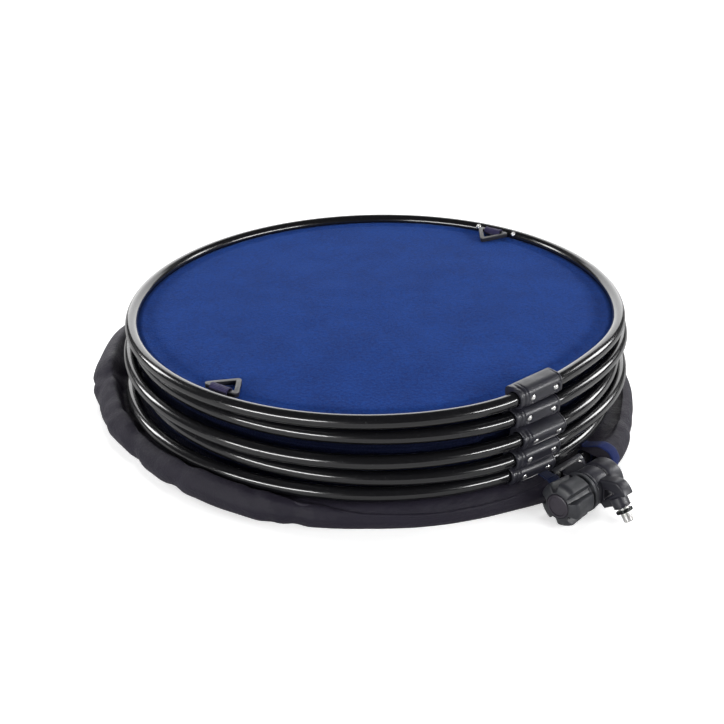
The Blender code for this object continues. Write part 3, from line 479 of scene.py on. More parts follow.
def turned(profile, sides):
    """A profile of (radius, height) points turned about Z, closed where it meets the axis."""
    shape = bmesh.new()
    rings = []
    for radius, height in profile:
        turns = [TURN * k / sides for k in range(sides if radius > 0 else 1)]
        rings.append([shape.verts.new((radius * math.cos(a), radius * math.sin(a), height)) for a in turns])
    closed = profile[0][0] == 0 or profile[-1][0] == 0
    for a, b in zip(rings, rings[1:] if closed else rings[1:] + rings[:1]):
        for k in range(sides):
            n = (k + 1) % sides
            corners = list(dict.fromkeys((a[k % len(a)], a[n % len(a)], b[n % len(b)], b[k % len(b)])))
            if len(corners) > 2:
                shape.faces.new(corners)
    bmesh.ops.recalc_face_normals(shape, faces=shape.faces)
    return mesh_from(shape)


def plate(outlines, thickness):
    """Flat outlines, the first one's inside less the others', with a thickness about the XY plane."""
    curve = bpy.data.curves.new("outline", "CURVE")
    curve.dimensions = "2D"
    curve.fill_mode = "BOTH"
    curve.extrude = thickness / 2
    for outline in outlines:
        spline = curve.splines.new("POLY")
        spline.points.add(len(outline) - 1)
        for point, (x, y) in zip(spline.points, outline):
            point.co = (x, y, 0, 1)
        spline.use_cyclic_u = True
    shape = bmesh.new()
    shape.from_mesh(baked(in_scene("outline", curve)))
    bmesh.ops.remove_doubles(shape, verts=shape.verts, dist=0.002 * MM)
    return mesh_from(shape)


def cylinder(radius, start, end, sides=64):
    """A cylinder along Y between two places."""
    shape = bmesh.new()
    bmesh.ops.create_cone(shape, cap_ends=True, segments=sides, radius1=radius, radius2=radius,
                          depth=end - start)
    bmesh.ops.translate(shape, verts=shape.verts, vec=(0, 0, (start + end) / 2))
    return moved(mesh_from(shape), Z_ONTO_Y)


def carved(base, added=(), cut=(), bevel=0.0, segments=2, angle=35):
    """A mesh with others joined to it and others cut from it, its sharp edges rounded."""
    item = in_scene("carved", base)
    tools = []
    for operation, meshes in (("UNION", added), ("DIFFERENCE", cut)):
        for mesh in meshes:
            tools.append(in_scene("tool", mesh))
            step = item.modifiers.new(operation, "BOOLEAN")
            step.object = tools[-1]
            step.operation = operation
    if bevel:
        weld = item.modifiers.new("Weld", "WELD")
        weld.merge_threshold = 0.02 * MM
        edge = item.modifiers.new("Bevel", "BEVEL")
        edge.width = bevel
        edge.segments = segments
        edge.limit_method = "ANGLE"
        edge.angle_limit = math.radians(angle)
    mesh = baked(item)
    for tool in tools:
        bpy.data.objects.remove(tool, do_unlink=True)
    return mesh


def arc(centre, radius, start, end, count):
    angles = [start + (end - start) * i / (count - 1) for i in range(count)]
    return [(centre[0] + radius * math.cos(a), centre[1] + radius * math.sin(a)) for a in angles]


def rounded(corners, radius, count=8):
    """A convex outline whose corners, given anticlockwise, are rounded."""
    points = []
    for i, corner in enumerate(corners):
        here = Vector(corner)
        back = (Vector(corners[i - 1]) - here).normalized()
        on = (Vector(corners[(i + 1) % len(corners)]) - here).normalized()
        half = back.angle(on) / 2
        centre = here + (back + on).normalized() * radius / math.sin(half)
        start = math.atan2(*(here + back * radius / math.tan(half) - centre).yx)
        end = math.atan2(*(here + on * radius / math.tan(half) - centre).yx)
        if end < start:
            end += TURN
        points += arc(centre, radius, start, end, count)
    return points


# Geometry Nodes


class Tree:
    """A Geometry Nodes tree with named inputs."""

    def __init__(self, name, **inputs):
        self.tree = bpy.data.node_groups.new(name, "GeometryNodeTree")
        for label, kind in {"Geometry": "Geometry", **inputs, "Material": "Material"}.items():
            self.tree.interface.new_socket(label, in_out="INPUT", socket_type="NodeSocket" + kind)
        self.tree.interface.new_socket("Geometry", in_out="OUTPUT", socket_type="NodeSocketGeometry")
        self.given = self.tree.nodes.new("NodeGroupInput").outputs

    def node(self, kind, inputs=None, output=0, **settings):
        return add_node(self.tree, kind, inputs, **settings).outputs[output]

    def copies(self, points, shape, way, axis):
        """The tree that ends in copies of a shape at points, each with an axis turned this way."""
        turn = self.node("FunctionNodeAlignRotationToVector", {"Vector": way}, axis=axis)
        inputs = {"Points": points, "Instance": shape, "Rotation": turn}
        return self.end(self.node("GeometryNodeInstanceOnPoints", inputs))

    def end(self, geometry):
        whole = self.node("GeometryNodeRealizeInstances", {0: geometry})
        coated = self.node("GeometryNodeSetMaterial", {0: whole, "Material": self.given["Material"]})
        add_node(self.tree, "NodeGroupOutput", {0: coated})
        return self.tree


def grow(mesh, tree, **values):
    """The plain mesh that a tree makes of this one."""
    item = in_scene("grown", mesh)
    step = item.modifiers.new("Grow", "NODES")
    step.node_group = tree
    for socket in tree.interface.items_tree:
        if socket.in_out == "INPUT" and socket.name in values:
            step[socket.identifier] = values[socket.name]
    return baked(item)


def tube_tree():
    """A round tube along a path, with smooth sides."""
    tree = Tree("Tube along its path", Radius="Float", Sides="Int")
    path = tree.node("GeometryNodeMeshToCurve", {0: tree.given["Geometry"]})
    sizes = {"Resolution": tree.given["Sides"], "Radius": tree.given["Radius"]}
    ring = tree.node("GeometryNodeCurvePrimitiveCircle", sizes)
    skin = tree.node("GeometryNodeCurveToMesh", {"Curve": path, "Profile Curve": ring, "Fill Caps": True})
    return tree.end(tree.node("GeometryNodeSetShadeSmooth", {0: skin}))


def rivet_tree():
    """A copy of a head at each point, along the point's axis."""
    tree = Tree("Rivet heads", Head="Object")
    head = tree.node("GeometryNodeObjectInfo", {"Object": tree.given["Head"]}, "Geometry")
    axis = tree.node("GeometryNodeInputNamedAttribute", {"Name": "axis"}, data_type="FLOAT_VECTOR")
    return tree.copies(tree.given["Geometry"], head, axis, "Z")


def ridge_tree():
    """Copies of a tooth turned about Z, evenly spaced."""
    tree = Tree("Teeth round a rim", Tooth="Object", Count="Int", Radius="Float")
    tooth = tree.node("GeometryNodeObjectInfo", {"Object": tree.given["Tooth"]}, "Geometry")
    sizes = {"Vertices": tree.given["Count"], "Radius": tree.given["Radius"]}
    ring = tree.node("GeometryNodeMeshCircle", sizes)
    return tree.copies(ring, tooth, tree.node("GeometryNodeInputPosition"), "X")


TUBE_TREE = tube_tree()
RIVET_TREE = rivet_tree()
RIDGE_TREE = ridge_tree()


def tube_mesh(points, radius, sides, material):
    """A tube round a closed path, made by the tube tree."""
    mesh = bpy.data.meshes.new("path")
    edges = [(i, (i + 1) % len(points)) for i in range(len(points))]
    mesh.from_pydata([tuple(p) for p in points], edges, [])
    return grow(mesh, TUBE_TREE, Radius=radius, Sides=sides, Material=material)


def rivet_heads(places):
    """Rivet heads at (point, axis) places, made by the rivet tree."""
    mesh = bpy.data.meshes.new("places")
    mesh.from_pydata([tuple(point) for point, _ in places], [], [])
    axis = mesh.attributes.new("axis", "FLOAT_VECTOR", "POINT")
    for i, (_, way) in enumerate(places):
        axis.data[i].vector = way
    return copied(rivet_head(), mesh, RIVET_TREE, "Head", Material=RIVET)


def copied(shape, mesh, tree, name, **values):
    """What a tree makes of a mesh and of copies of a shape, which isn't left in the scene."""
    item = in_scene("prototype", shape)
    grown = grow(mesh, tree, **{name: item}, **values)
    bpy.data.objects.remove(item, do_unlink=True)
    return grown


# Tube rings, their sleeves and rivets

SLEEVE_LENGTH = 50.5 * MM
SLEEVE_DEPTH = {"outer": 9.8 * MM, "inner": 11.0 * MM}
SLEEVE_UPPER = {"ring_1": 10.6 * MM, "others": 9.2 * MM}
SLEEVE_LOWER = 8.3 * MM
SLEEVE_FACET = 9.2 * MM
# The sleeve's scale at distances in millimetres from its left end, and from its right end
SLEEVE_LEFT = [(0, 0.87), (0.25, 0.92), (0.8, 0.945), (2.6, 0.945), (3.2, 0.93), (3.8, 0.86), (5.2, 0.86),
               (5.9, 0.93), (6.5, 0.95), (7.5, 0.95), (8.0, 0.92), (8.5, 0.92), (9.3, 0.99), (9.7, 1.0)]
SLEEVE_RIGHT = [(4.2, 1.0), (3.4, 0.995), (2.9, 0.955), (2.3, 0.955), (1.8, 1.0), (0.9, 1.005), (0.3, 0.975),
                (0, 0.92)]
SLEEVE_BORE = TUBE_RADIUS + 0.45 * MM
SLEEVE_AROUND = 132
FACET_PROUD = 0.15 * MM
RIVET_FACE = SLEEVE_FACET - 0.35 * MM
POCKET_DEPTH = 0.9 * MM
POCKET_HALF = 4.4 * MM
POCKET_DOWN = 0.5 * MM
RIVET_RADIUS = 2.7 * MM
RIVET_HEIGHT = 1.5 * MM
RECESS_RADIUS = 3.7 * MM
RECESS_DEPTH = 1.0 * MM
RIVET_FROM_LEFT = 15 * MM
RIVET_FROM_RIGHT = 7 * MM
TUBE_SIDES = 28


def ring_matrix(ring):
    spec = RINGS[ring]
    turn = Matrix.Rotation(math.radians(-spec["tilt_x"]), 4, "Y")
    turn = turn @ Matrix.Rotation(math.radians(spec["tilt_y"]), 4, "X")
    return Matrix.Translation(MIDDLE + Vector((spec["x"], spec["y"], spec["z"])) * MM) @ turn


def path_radius(ring, bearing):
    away = angle_from(FLAT_CENTRE, bearing)
    if abs(away) > FLAT_HALF:
        return PATH_RADIUS
    return PATH_RADIUS - RINGS[ring]["pull"] * MM * math.cos(math.pi / 2 * away / FLAT_HALF) ** 2


def ring_point(ring, bearing):
    """A point of the tube's axis, in its ring's plane."""
    return outward(bearing) * path_radius(ring, bearing)


def joint_matrix(ring):
    """The frame of a ring's sleeve: X outward, Y along the straight tube, Z up."""
    start = math.radians(RINGS[ring]["sleeve"])
    first, last = ring_point(ring, start + STEP), ring_point(ring, start - STEP)
    along = (first - last).normalized()
    return axes_matrix((first + last) / 2, along.cross(UP), along, UP)


def ring_line(ring, count=240):
    """Points along the tube, straight where it runs through the sleeve, in the row frame."""
    start = math.radians(RINGS[ring]["sleeve"])
    span = TURN - 2 * STEP
    points = [ring_point(ring, start + STEP + span * k / count) for k in range(count + 1)]
    inside = [points[-1].lerp(points[0], share) for share in (0.25, 0.5, 0.75)]
    matrix = ring_matrix(ring)
    return [matrix @ point for point in points + inside]


def sleeve_point(angle, scale, upper):
    """A point of the sleeve's section: squarer at its inner top, where its neck stays as wide."""
    c, s = math.cos(angle), math.sin(angle)
    inner_top = max(0, -c) ** 0.5 * max(0, s) ** 0.5
    power = 2.8 + 2.4 * inner_top
    squarish = (abs(c) ** power + abs(s) ** power) ** (-1 / power)
    depth = SLEEVE_DEPTH["outer" if c > 0 else "inner"]
    height = upper if s > 0 else SLEEVE_LOWER
    scale += (1 - scale) * min(1, 1.3 * inner_top)
    return depth * c * squarish * scale, height * s * squarish * scale


def pocket_share(y, z):
    """How far a point of the outer face lies in the pocket between the two rivets, 0 to 1."""
    places = rivet_places()
    along = max(places["left"] - y, y - places["right"], 0)
    inside = POCKET_HALF - math.hypot(along, z + POCKET_DOWN)
    return eased(inside / (0.7 * MM))


def sleeve_mesh(upper):
    """A moulded sleeve along Y: a banded neck, an oval body with a pocket in its outer face."""
    half = SLEEVE_LENGTH / 2
    turns = [TURN * (k + 0.5) / SLEEVE_AROUND for k in range(SLEEVE_AROUND)]
    stations = [(-half + place * MM, scale) for place, scale in SLEEVE_LEFT]
    first, last = stations[-1][0], half - SLEEVE_RIGHT[0][0] * MM
    stations += [(first + (last - first) * k / 40, 1.0) for k in range(1, 40)]
    stations += [(half - place * MM, scale) for place, scale in SLEEVE_RIGHT]
    rows = []
    for y, scale in stations:
        row = []
        for angle in turns:
            x, z = sleeve_point(angle, scale, upper)
            if x > 0:
                x = min(x, SLEEVE_FACET + FACET_PROUD)
                x += (min(x, SLEEVE_FACET - POCKET_DEPTH) - x) * pocket_share(y, z)
            row.append(Vector((x, y, z)))
        rows.append(row)
    wide, narrow = SLEEVE_BORE + 0.3 * MM, SLEEVE_BORE - 0.1 * MM
    rim, deep = half - 0.3 * MM, half - 7 * MM
    for y, radius in ((rim, wide), (deep, narrow), (-deep, narrow), (-rim, wide)):
        rows.append([Vector((radius * math.cos(a), y, radius * math.sin(a))) for a in turns])
    profile = [(0, -RECESS_DEPTH), (RECESS_RADIUS - 0.25 * MM, -RECESS_DEPTH),
               (RECESS_RADIUS, -RECESS_DEPTH + 0.25 * MM), (RECESS_RADIUS, 4 * MM), (0, 4 * MM)]
    cuts = []
    for place in rivet_places().values():
        cuts.append(moved(turned(profile, 36), Matrix.Translation((RIVET_FACE, place, 0)) @ Z_ONTO_X))
    return carved(grid_skin(rows, True, closed_along=True), cut=cuts)


def rivet_places():
    half = SLEEVE_LENGTH / 2
    return {"left": RIVET_FROM_LEFT - half, "right": half - RIVET_FROM_RIGHT}


def rivet_head():
    """A domed rivet head with a small dimple, its flat side at 0."""
    r, h = RIVET_RADIUS, RIVET_HEIGHT
    profile = [(0, h * 0.80), (r * 0.16, h * 0.82), (r * 0.26, h * 0.97), (r * 0.42, h), (r * 0.62, h * 0.9),
               (r * 0.82, h * 0.66), (r * 0.94, h * 0.38), (r, h * 0.14), (r, 0), (0, 0)]
    return turned(profile, 24)


def build_rings():
    sleeves = {ring: sleeve_mesh(upper) for ring, upper in SLEEVE_UPPER.items()}
    for ring, body in RING_BODIES.items():
        tube = tube_mesh(ring_line(ring), TUBE_RADIUS, TUBE_SIDES, TUBE)
        show(ring + "_bent_tube", tube, TUBE, body, [ring + "_tube"], smooth=0)
        if ring == "head_ring":
            continue
        roll = Matrix.Rotation(math.radians(-RINGS[ring]["roll"]), 4, "Y")
        joint = ring_matrix(ring) @ joint_matrix(ring) @ roll
        sleeve = moved(sleeves.get(ring, sleeves["others"]).copy(), joint)
        show(ring + "_moulded_sleeve", sleeve, PLASTIC, body, [ring + "_sleeve"], smooth=32)
        out = joint.to_3x3() @ Vector((1, 0, 0))
        seats = [Vector((RIVET_FACE - RECESS_DEPTH, place, 0)) for place in rivet_places().values()]
        rivets = rivet_heads([(joint @ seat, out) for seat in seats])
        nodes = [f"{ring}_rivet_{side}" for side in rivet_places()]
        show(ring + "_rivet_heads", rivets, RIVET, body, nodes, smooth=50)


# Base disc and net

DISC_DROP = 2.5 * MM
DISC_INSET = 6.0 * MM
DISC_BESIDE_SLEEVE = 5.6 * MM
DISC_TOP = 1.0 * MM - DISC_DROP
DISC_WAVE = 0.75 * MM
DISC_CREASE = 0.30 * MM
DISC_PUCKER = 0.9 * MM
DISC_STITCHES = 58
# The seam's groove: its depth, and its place and width as shares of the disc's radius
DISC_SEAM = (1.3 * MM, 0.955, 0.012)
DISC_CLOTH_THICKNESS = 1.2 * MM
NET_INSET = 7.2 * MM
NET_LENGTH = 0.43
NET_SEAM = {"ring_1": 5.5 * MM, "others": 1.0 * MM}
NET_PLEATS = 8
NET_AROUND = 200
ROWS_A_FOLD = 4
BESIDE_SLEEVE = 4.8 * MM
PLEAT_DEPTH = 26 * MM
PLEAT_SAG = 1.2 * MM


def base_disc():
    """The base cloth, drawn tight to ring 1, with faint waves and a rolled seam at its rim."""
    rings, around = 46, 192
    groove, seam, width = DISC_SEAM
    matrix = ring_matrix("ring_1")
    start = math.radians(RINGS["ring_1"]["sleeve"])
    rows = []
    for i in range(1, rings + 1):
        share = i / rings
        row = []
        for k in range(around):
            bearing = start + TURN * k / around
            near = 1 - min(1, abs(angle_from(start, bearing)) / (1.2 * STEP))
            reach = path_radius("ring_1", bearing) - DISC_INSET - near * DISC_BESIDE_SLEEVE
            x, y, _ = outward(bearing) * reach * share
            calm = 1 - share ** 6
            z = DISC_TOP + DISC_WAVE * wander(x, y, 0.3, 0.09) * calm
            z += DISC_CREASE * wander(x * 1.5, y, 0.9, 0.025) * calm
            pucker = max(0, share - 0.86) / 0.14
            stitch = math.sin(bearing * DISC_STITCHES + 2.5 * wander(x, y, 2.0, 0.05))
            z += DISC_PUCKER * pucker * (1 - pucker) * stitch
            z -= groove * math.exp(-((share - seam) / width) ** 2)
            row.append(matrix @ Vector((x, y, z)))
        rows.append(row)
    shape = bmesh.new()
    made = [[shape.verts.new(p) for p in row] for row in rows]
    middle = shape.verts.new(matrix @ Vector((0, 0, DISC_TOP)))
    for k in range(around):
        n = (k + 1) % around
        shape.faces.new((middle, made[0][k], made[0][n]))
        for a, b in zip(made[:-1], made[1:]):
            shape.faces.new((a[k], b[k], b[n], a[n]))
    bmesh.ops.recalc_face_normals(shape, faces=shape.faces)
    if sum(face.normal.z for face in shape.faces) < 0:
        bmesh.ops.reverse_faces(shape, faces=shape.faces)
    cloth = thicken(mesh_from(shape), DISC_CLOTH_THICKNESS, -1.0)
    disc = show("base_cloth", cloth, DISC_CLOTH, "base", ["base_disc"], smooth=0)


def net_panel(upper, lower):
    """Net between two rings: sewn inside both, with its slack in pleats that lie inward."""
    top, bottom = ring_matrix(upper), ring_matrix(lower)
    seam = NET_SEAM.get(upper, NET_SEAM["others"])
    rows = []
    for i in range(NET_PLEATS * 2 * ROWS_A_FOLD + 1):
        share = i / (NET_PLEATS * 2 * ROWS_A_FOLD)
        fold = i / ROWS_A_FOLD
        number = math.floor(fold / 2 + 0.5)
        inward = 0.5 - 0.5 * math.cos(math.pi * fold)
        row = []
        for k in range(NET_AROUND):
            bearing = TURN * k / NET_AROUND
            out = outward(bearing)
            a = top @ (ring_point(upper, bearing) - UP * seam)
            b = bottom @ (ring_point(lower, bearing) + UP * NET_SEAM["others"])
            point = a.lerp(b, share)
            deep = PLEAT_DEPTH * (0.82 + 0.35 * wander(out.x, out.y, number * 1.7, 0.35))
            edge = NET_INSET + 1.6 * MM * (1 + wander(point.x, point.y, number, 0.02)) * (0 < share < 1)
            if beside_sleeve(upper, bearing) or beside_sleeve(lower, bearing):
                edge += BESIDE_SLEEVE
            sag = PLEAT_SAG * inward * wander(point.x * 2, point.y * 2, number * 3.1, 0.05)
            row.append(point - out * (edge + deep * inward) + UP * sag * (0 < share < 1))
        rows.append(row)
    lengths = lengths_along([row[0] for row in rows])
    girth = TURN * (PATH_RADIUS - NET_INSET)
    stretch = NET_LENGTH / lengths[-1]
    skin = grid_skin(
        rows, True, uvs=lambda row, column: (girth * column / NET_AROUND, lengths[row] * stretch)
    )
    numbers = upper[-1] + "_" + lower[-1]
    panel = show("net_length_" + numbers, skin, NET, None, ["net_panel_" + numbers], smooth=0)
    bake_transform(panel)


def beside_sleeve(ring, bearing):
    return abs(angle_from(math.radians(RINGS[ring]["sleeve"]), bearing)) < 1.25 * STEP


# Carrying loops

LOOP_BEARINGS = {"near": -124.6, "far": 53.2}
LOOP_BASE = 44 * MM
LOOP_HEIGHT = 30 * MM
LOOP_BAR = 4.4 * MM
LOOP_THICKNESS = 4 * MM
LOOP_CORNER = 3.5 * MM
TAB_WIDTH = 20 * MM
TAB_THICKNESS = 1.2 * MM
CLEARANCE = 0.3 * MM
DISC_THICKNESS = 2 * MM
TAB_WRAP = 1.5 * math.pi
TAB_RIVET_SPACING = 48 * MM
TAB_RIVET_RISE = {"near": math.radians(-6), "far": math.radians(35)}


def bar_radius():
    return math.hypot(LOOP_BAR, LOOP_THICKNESS) / 2


def tab_radius():
    return bar_radius() + CLEARANCE + TAB_THICKNESS


def loop_matrix(bearing):
    angle = math.radians(bearing)
    out = outward(angle)
    seat = DISC_THICKNESS / 2 - DISC_DROP + CLEARANCE
    reach = path_radius("ring_1", angle) * math.cos(STEP / 2) - TUBE_RADIUS - CLEARANCE
    origin = out * (reach - tab_radius()) + UP * (seat + tab_radius())
    return axes_matrix(origin, out, UP.cross(out), UP)


def loop_mesh():
    """A flat triangular loop with rounded bars, as cast, its bar on Y and its point inward."""
    half = LOOP_BAR / 2
    outer = [(half, -LOOP_BASE / 2), (half, LOOP_BASE / 2), (half - LOOP_HEIGHT, 0)]
    slope = math.hypot(LOOP_HEIGHT, LOOP_BASE / 2)
    reach = LOOP_BASE / 2 - LOOP_BAR * (slope + LOOP_BASE / 2) / LOOP_HEIGHT
    tip = half - LOOP_HEIGHT + LOOP_BAR * slope / (LOOP_BASE / 2)
    inner = [(-half, -reach), (-half, reach), (tip, 0)]
    outlines = [rounded(outer, LOOP_CORNER, 10), rounded(inner, LOOP_CORNER / 4, 6)]
    return carved(plate(outlines, LOOP_THICKNESS), bevel=1.1 * MM, segments=4, angle=50)


def tab_strip(matrix):
    """Webbing that wraps the loop's bar, with a tail sewn out to the tube."""
    radius = tab_radius() - 0.5 * TAB_THICKNESS
    line = arc((0, 0), radius, -0.12, TAB_WRAP, 30)
    line += [(radius * share, -radius) for share in (0.2, 0.4, 0.6, 0.8, 1.0, 1.15)]
    lengths = lengths_along(line)
    across = 14
    rows = []
    for x, z in line:
        row = []
        for k in range(across + 1):
            swell = 1 + 0.12 * MM * math.cos(TURN * 2 * k / across) / radius
            row.append(matrix @ Vector((x * swell, TAB_WIDTH * (k / across - 0.5), z * swell)))
        rows.append(row)
    skin = grid_skin(rows, False, uvs=lambda row, column: (TAB_WIDTH * column / across, lengths[row]))
    return thicken(skin, TAB_THICKNESS - 0.2 * MM)


def build_loops():
    matrix = ring_matrix("ring_1")
    rest = -math.asin((tab_radius() - LOOP_THICKNESS / 2) / (LOOP_HEIGHT - LOOP_BAR))
    for side, bearing in LOOP_BEARINGS.items():
        hinge = matrix @ loop_matrix(bearing)
        loop = moved(loop_mesh(), hinge @ Matrix.Rotation(rest, 4, "Y"))
        show(side + "_lift_loop", loop, DARK_PLASTIC, side + "_loop", [side + "_loop"], smooth=50)
        strip = tab_strip(hinge)
        tab = show(side + "_webbing_tab", strip, NAVY_TAPE, "base", [side + "_loop_tab"], smooth=60)
        rise = TAB_RIVET_RISE[side]
        spots = []
        for way in (-1, 1):
            angle = math.radians(bearing) + way * TAB_RIVET_SPACING / 2 / PATH_RADIUS
            axis = UP * math.sin(rise) - outward(angle) * math.cos(rise)
            seat = ring_point("ring_1", angle) + axis * TUBE_RADIUS
            spots.append((matrix @ seat, matrix.to_3x3() @ axis))
        nodes = [f"{side}_tab_rivet_{end}" for end in ("a", "b")]
        show(side + "_tab_rivet_heads", rivet_heads(spots), RIVET, "base", nodes, smooth=50)


# Mouth ring's hem, the collar that rolls out round it, and the bands that bind its ends

HEM_RADIUS = TUBE_RADIUS + 1.3 * MM
COLLAR_END = {"right": 38 * MM, "left": -20 * MM}
BAND_WIDTH = 12 * MM
COLLAR_LENGTH = 0.34
COLLAR_THICKNESS = 0.8 * MM
COLLAR_PLEATS = 3
COLLAR_PLEAT_DEPTH = 24 * MM
FLAP_HEIGHT = 18.5 * MM
FLAP_INWARD = HEM_RADIUS + 1.6 * MM
COLLAR_COLUMNS = 420
# The cloth's map runs by this radius, and its sections have this many points to each control point
COLLAR_RUN = 0.27
SECTION_PARTS = 5
# The controls between which the cloth folds freely
FREE_START = 2 * SECTION_PARTS
FREE_END = 11 * SECTION_PARTS
# The roll's outline from the ground round to its crest, as shares of its depth in from its reach
# and of half its height
ROLL_OUTLINE = [(0.75, 0), (0.22, 0.3), (0, 1), (0.15, 1.45), (0.48, 1.84), (0.95, 2)]
FULL_BESIDE_LOCK = math.radians(22)
GUTTER_BESIDE = 1.2 * MM
GUTTER_ABOVE = 0.8 * MM
# Bearing in degrees, then in millimetres the roll's reach from the rings' middle and half its height
ROLL = [(-180, 292, 23), (-160, 280, 17), (-145, 269, 13), (-125, 269.5, 15.5), (-113, 268, 14.5),
        (-103, 262, 11.5), (-90, 257, 8.5), (-77, 256, 7.5), (-64, 257.5, 8), (-50, 266, 11), (-35, 276, 13),
        (-15, 267, 12), (0, 268, 14), (45, 272, 18), (90, 276, 20), (135, 284, 22), (160, 292, 24.5),
        (170, 294, 25), (180, 292, 23)]
# Pinched folds: bearing and half a width in degrees, depth in millimetres, and how far it leans
PINCHES = [(-176, 1.3, 1.6, 6), (-167, 1.8, 1.9, -6), (-160, 1.2, 1.1, 4), (-148, 1.6, 1.5, -5),
           (-131, 1.8, 1.7, 5), (-113, 1.2, 1.0, -6), (-104, 1.6, 1.2, 3), (-22, 1.8, 1.0, 3),
           (12, 2.0, 1.4, -3), (64, 2.2, 1.6, -5), (95, 1.6, 1.5, 4), (123, 2.0, 1.8, -4), (151, 2.0, 1.9, 5)]
# The turned-in bundle that closes each end of the roll: how far in millimetres it reaches past the
# band, and shares of the way in to the section's middle
END_TUCK = [(0.4, 0.03), (0.8, 0.16), (1.1, 0.36), (1.3, 0.60), (1.4, 0.85)]
TUCK_STEP = 2 * MM
TUCKED = 0.9 * MM
BAND_THICKNESS = 0.65 * MM
BAND_CROWN = 0.6 * MM
# How far the roll's soft waves and its finer ones stand out or in
ROLL_WAVE = 0.9 * MM
ROLL_CREASE = 0.35 * MM
HEM_GATHER = 0.22 * MM
HEM_GATHERS = 150


def mouth_point(bearing):
    return ring_matrix("head_ring") @ ring_point("head_ring", bearing)


def mouth_bearing(distance):
    """The bearing on the mouth ring at this distance from the lock's middle."""
    return math.radians(RINGS["head_ring"]["sleeve"]) + distance / PATH_RADIUS


def roll_at(bearing):
    """The roll's reach and half its height."""
    degrees = angle_from(0, math.degrees(bearing), 360)
    for (a, *before), (b, *after) in zip(ROLL[:-1], ROLL[1:]):
        if a <= degrees <= b:
            share = eased((degrees - a) / (b - a))
            return [(old + (new - old) * share) * MM for old, new in zip(before, after)]


def smooth_line(points, parts):
    """A curve through flat points, with this many parts to each stretch."""
    points = [Vector(point) for point in points]
    line = []
    for i in range(len(points) - 1):
        before = points[max(i - 1, 0)]
        here, there = points[i], points[i + 1]
        after = points[min(i + 2, len(points) - 1)]
        for k in range(parts):
            t = k / parts
            bend = (there - before) * t + (2 * before - 5 * here + 4 * there - after) * t * t
            bend += (3 * here - before - 3 * there + after) * t * t * t
            line.append(here + bend / 2)
    return line + [points[-1]]


def collar_controls(bearing):
    """Control points of the collar's section: out from the mouth ring's axis, and up."""
    point = mouth_point(bearing)
    out = outward(bearing)
    flat = point - MIDDLE
    reach, half = roll_at(math.atan2(flat.y, flat.x))
    far = reach - flat.xy.length
    fifth = ring_matrix("ring_5") @ ring_point("ring_5", bearing)
    gap = (fifth - point).dot(out)
    wall = gap + TUBE_RADIUS + (4.2 * MM if beside_sleeve("ring_5", bearing) else 0.9 * MM)
    hem_side = HEM_RADIUS + 0.6 * MM
    soft = min(half, (far - max(wall, hem_side)) * 0.9)
    passing = (point.z + HEM_RADIUS + fifth.z - TUBE_RADIUS) / 2
    points = [(-5.5 * MM, 3.4 * MM), (-2 * MM, 0.9 * MM), (5 * MM, 0.6 * MM)]
    for depth, rise in ROLL_OUTLINE:
        width = half if rise < 1 else soft
        points.append((max(far - width * depth, 5.8 * MM), max(half * rise, 0.6 * MM)))
    gutter = Vector((max(wall, hem_side) + GUTTER_BESIDE, min(passing + GUTTER_ABOVE, 1.7 * half)))
    full = min(1, 2 * max(0, 1 - abs(angle_from(LOCK_BEARING, bearing)) / FULL_BESIDE_LOCK))
    gutter.y += max(0, 1.95 * half - gutter.y) * full
    points += [Vector(points[-1]).lerp(gutter, 0.62) + Vector((0.6 * MM, 0.6 * MM)), gutter]
    points += [(min(wall, hem_side) - 3 * MM, passing), (gap - TUBE_RADIUS - 1 * MM, passing)]
    layers = 2 * COLLAR_PLEATS
    for k in range(1, layers):
        inward = COLLAR_PLEAT_DEPTH if k % 2 else 0
        points.append((gap - TUBE_RADIUS - 2 * MM - inward, passing + (fifth.z - passing) * k / layers))
    points.append((gap - TUBE_RADIUS - 0.9 * MM, fifth.z))
    return point, out, [Vector(p) for p in points]


def roll_fold(bearing, along):
    """How far the roll's cloth stands out or in, from its soft waves and pinched folds."""
    swell = ROLL_WAVE * wander(bearing * COLLAR_RUN, along, 0.0, 0.070)
    swell += ROLL_CREASE * wander(bearing * COLLAR_RUN, along * 1.6, 3.0, 0.022)
    for place, width, depth, lean in PINCHES:
        away = abs(angle_from(place + lean * (along / 0.05 - 1), math.degrees(bearing), 360)) / width
        if away < 4:
            swell += depth * MM * (0.35 * math.exp(-((away - 2.1) ** 2)) - math.exp(-(away ** 2)))
    return swell


def collar_row(bearing, grown=0.0, folds=1.0):
    """One section of the collar's cloth, in the row frame, and its length so far at each point."""
    point, out, controls = collar_controls(bearing)
    line = smooth_line(controls, SECTION_PARTS)
    lengths = lengths_along(line)
    row = []
    for i, spot in enumerate(line):
        ahead = line[min(i + 1, len(line) - 1)] - line[max(i - 1, 0)]
        normal = Vector((ahead.y, -ahead.x)).normalized()
        begun, left = (i - FREE_START) / (2.2 * SECTION_PARTS), (FREE_END - i) / (1.6 * SECTION_PARTS)
        free = eased(min(1, max(0, begun)) * min(1, max(0, left)))
        spot = spot + normal * (grown + folds * free * roll_fold(bearing, lengths[i]))
        row.append(point.xy.to_3d() + out * spot.x + UP * max(spot.y, 0.5 * MM))
    return row, lengths


def tucked_row(side, way, reach, share):
    """The roll's end gathered in: its section past the band, drawn to its middle by a share."""
    row = collar_row(mouth_bearing(COLLAR_END[side] - way * reach * MM), -TUCKED, 0.2)[0]
    middle = sum(row[FREE_START:FREE_END], Vector()) / (FREE_END - FREE_START)
    drawn = []
    for i, point in enumerate(row):
        hold = min(1, max(0, (i - FREE_START + 4) / 4)) * min(1, max(0, (FREE_END + 4 - i) / 4))
        drawn.append(point.lerp(middle, share * hold))
    return drawn


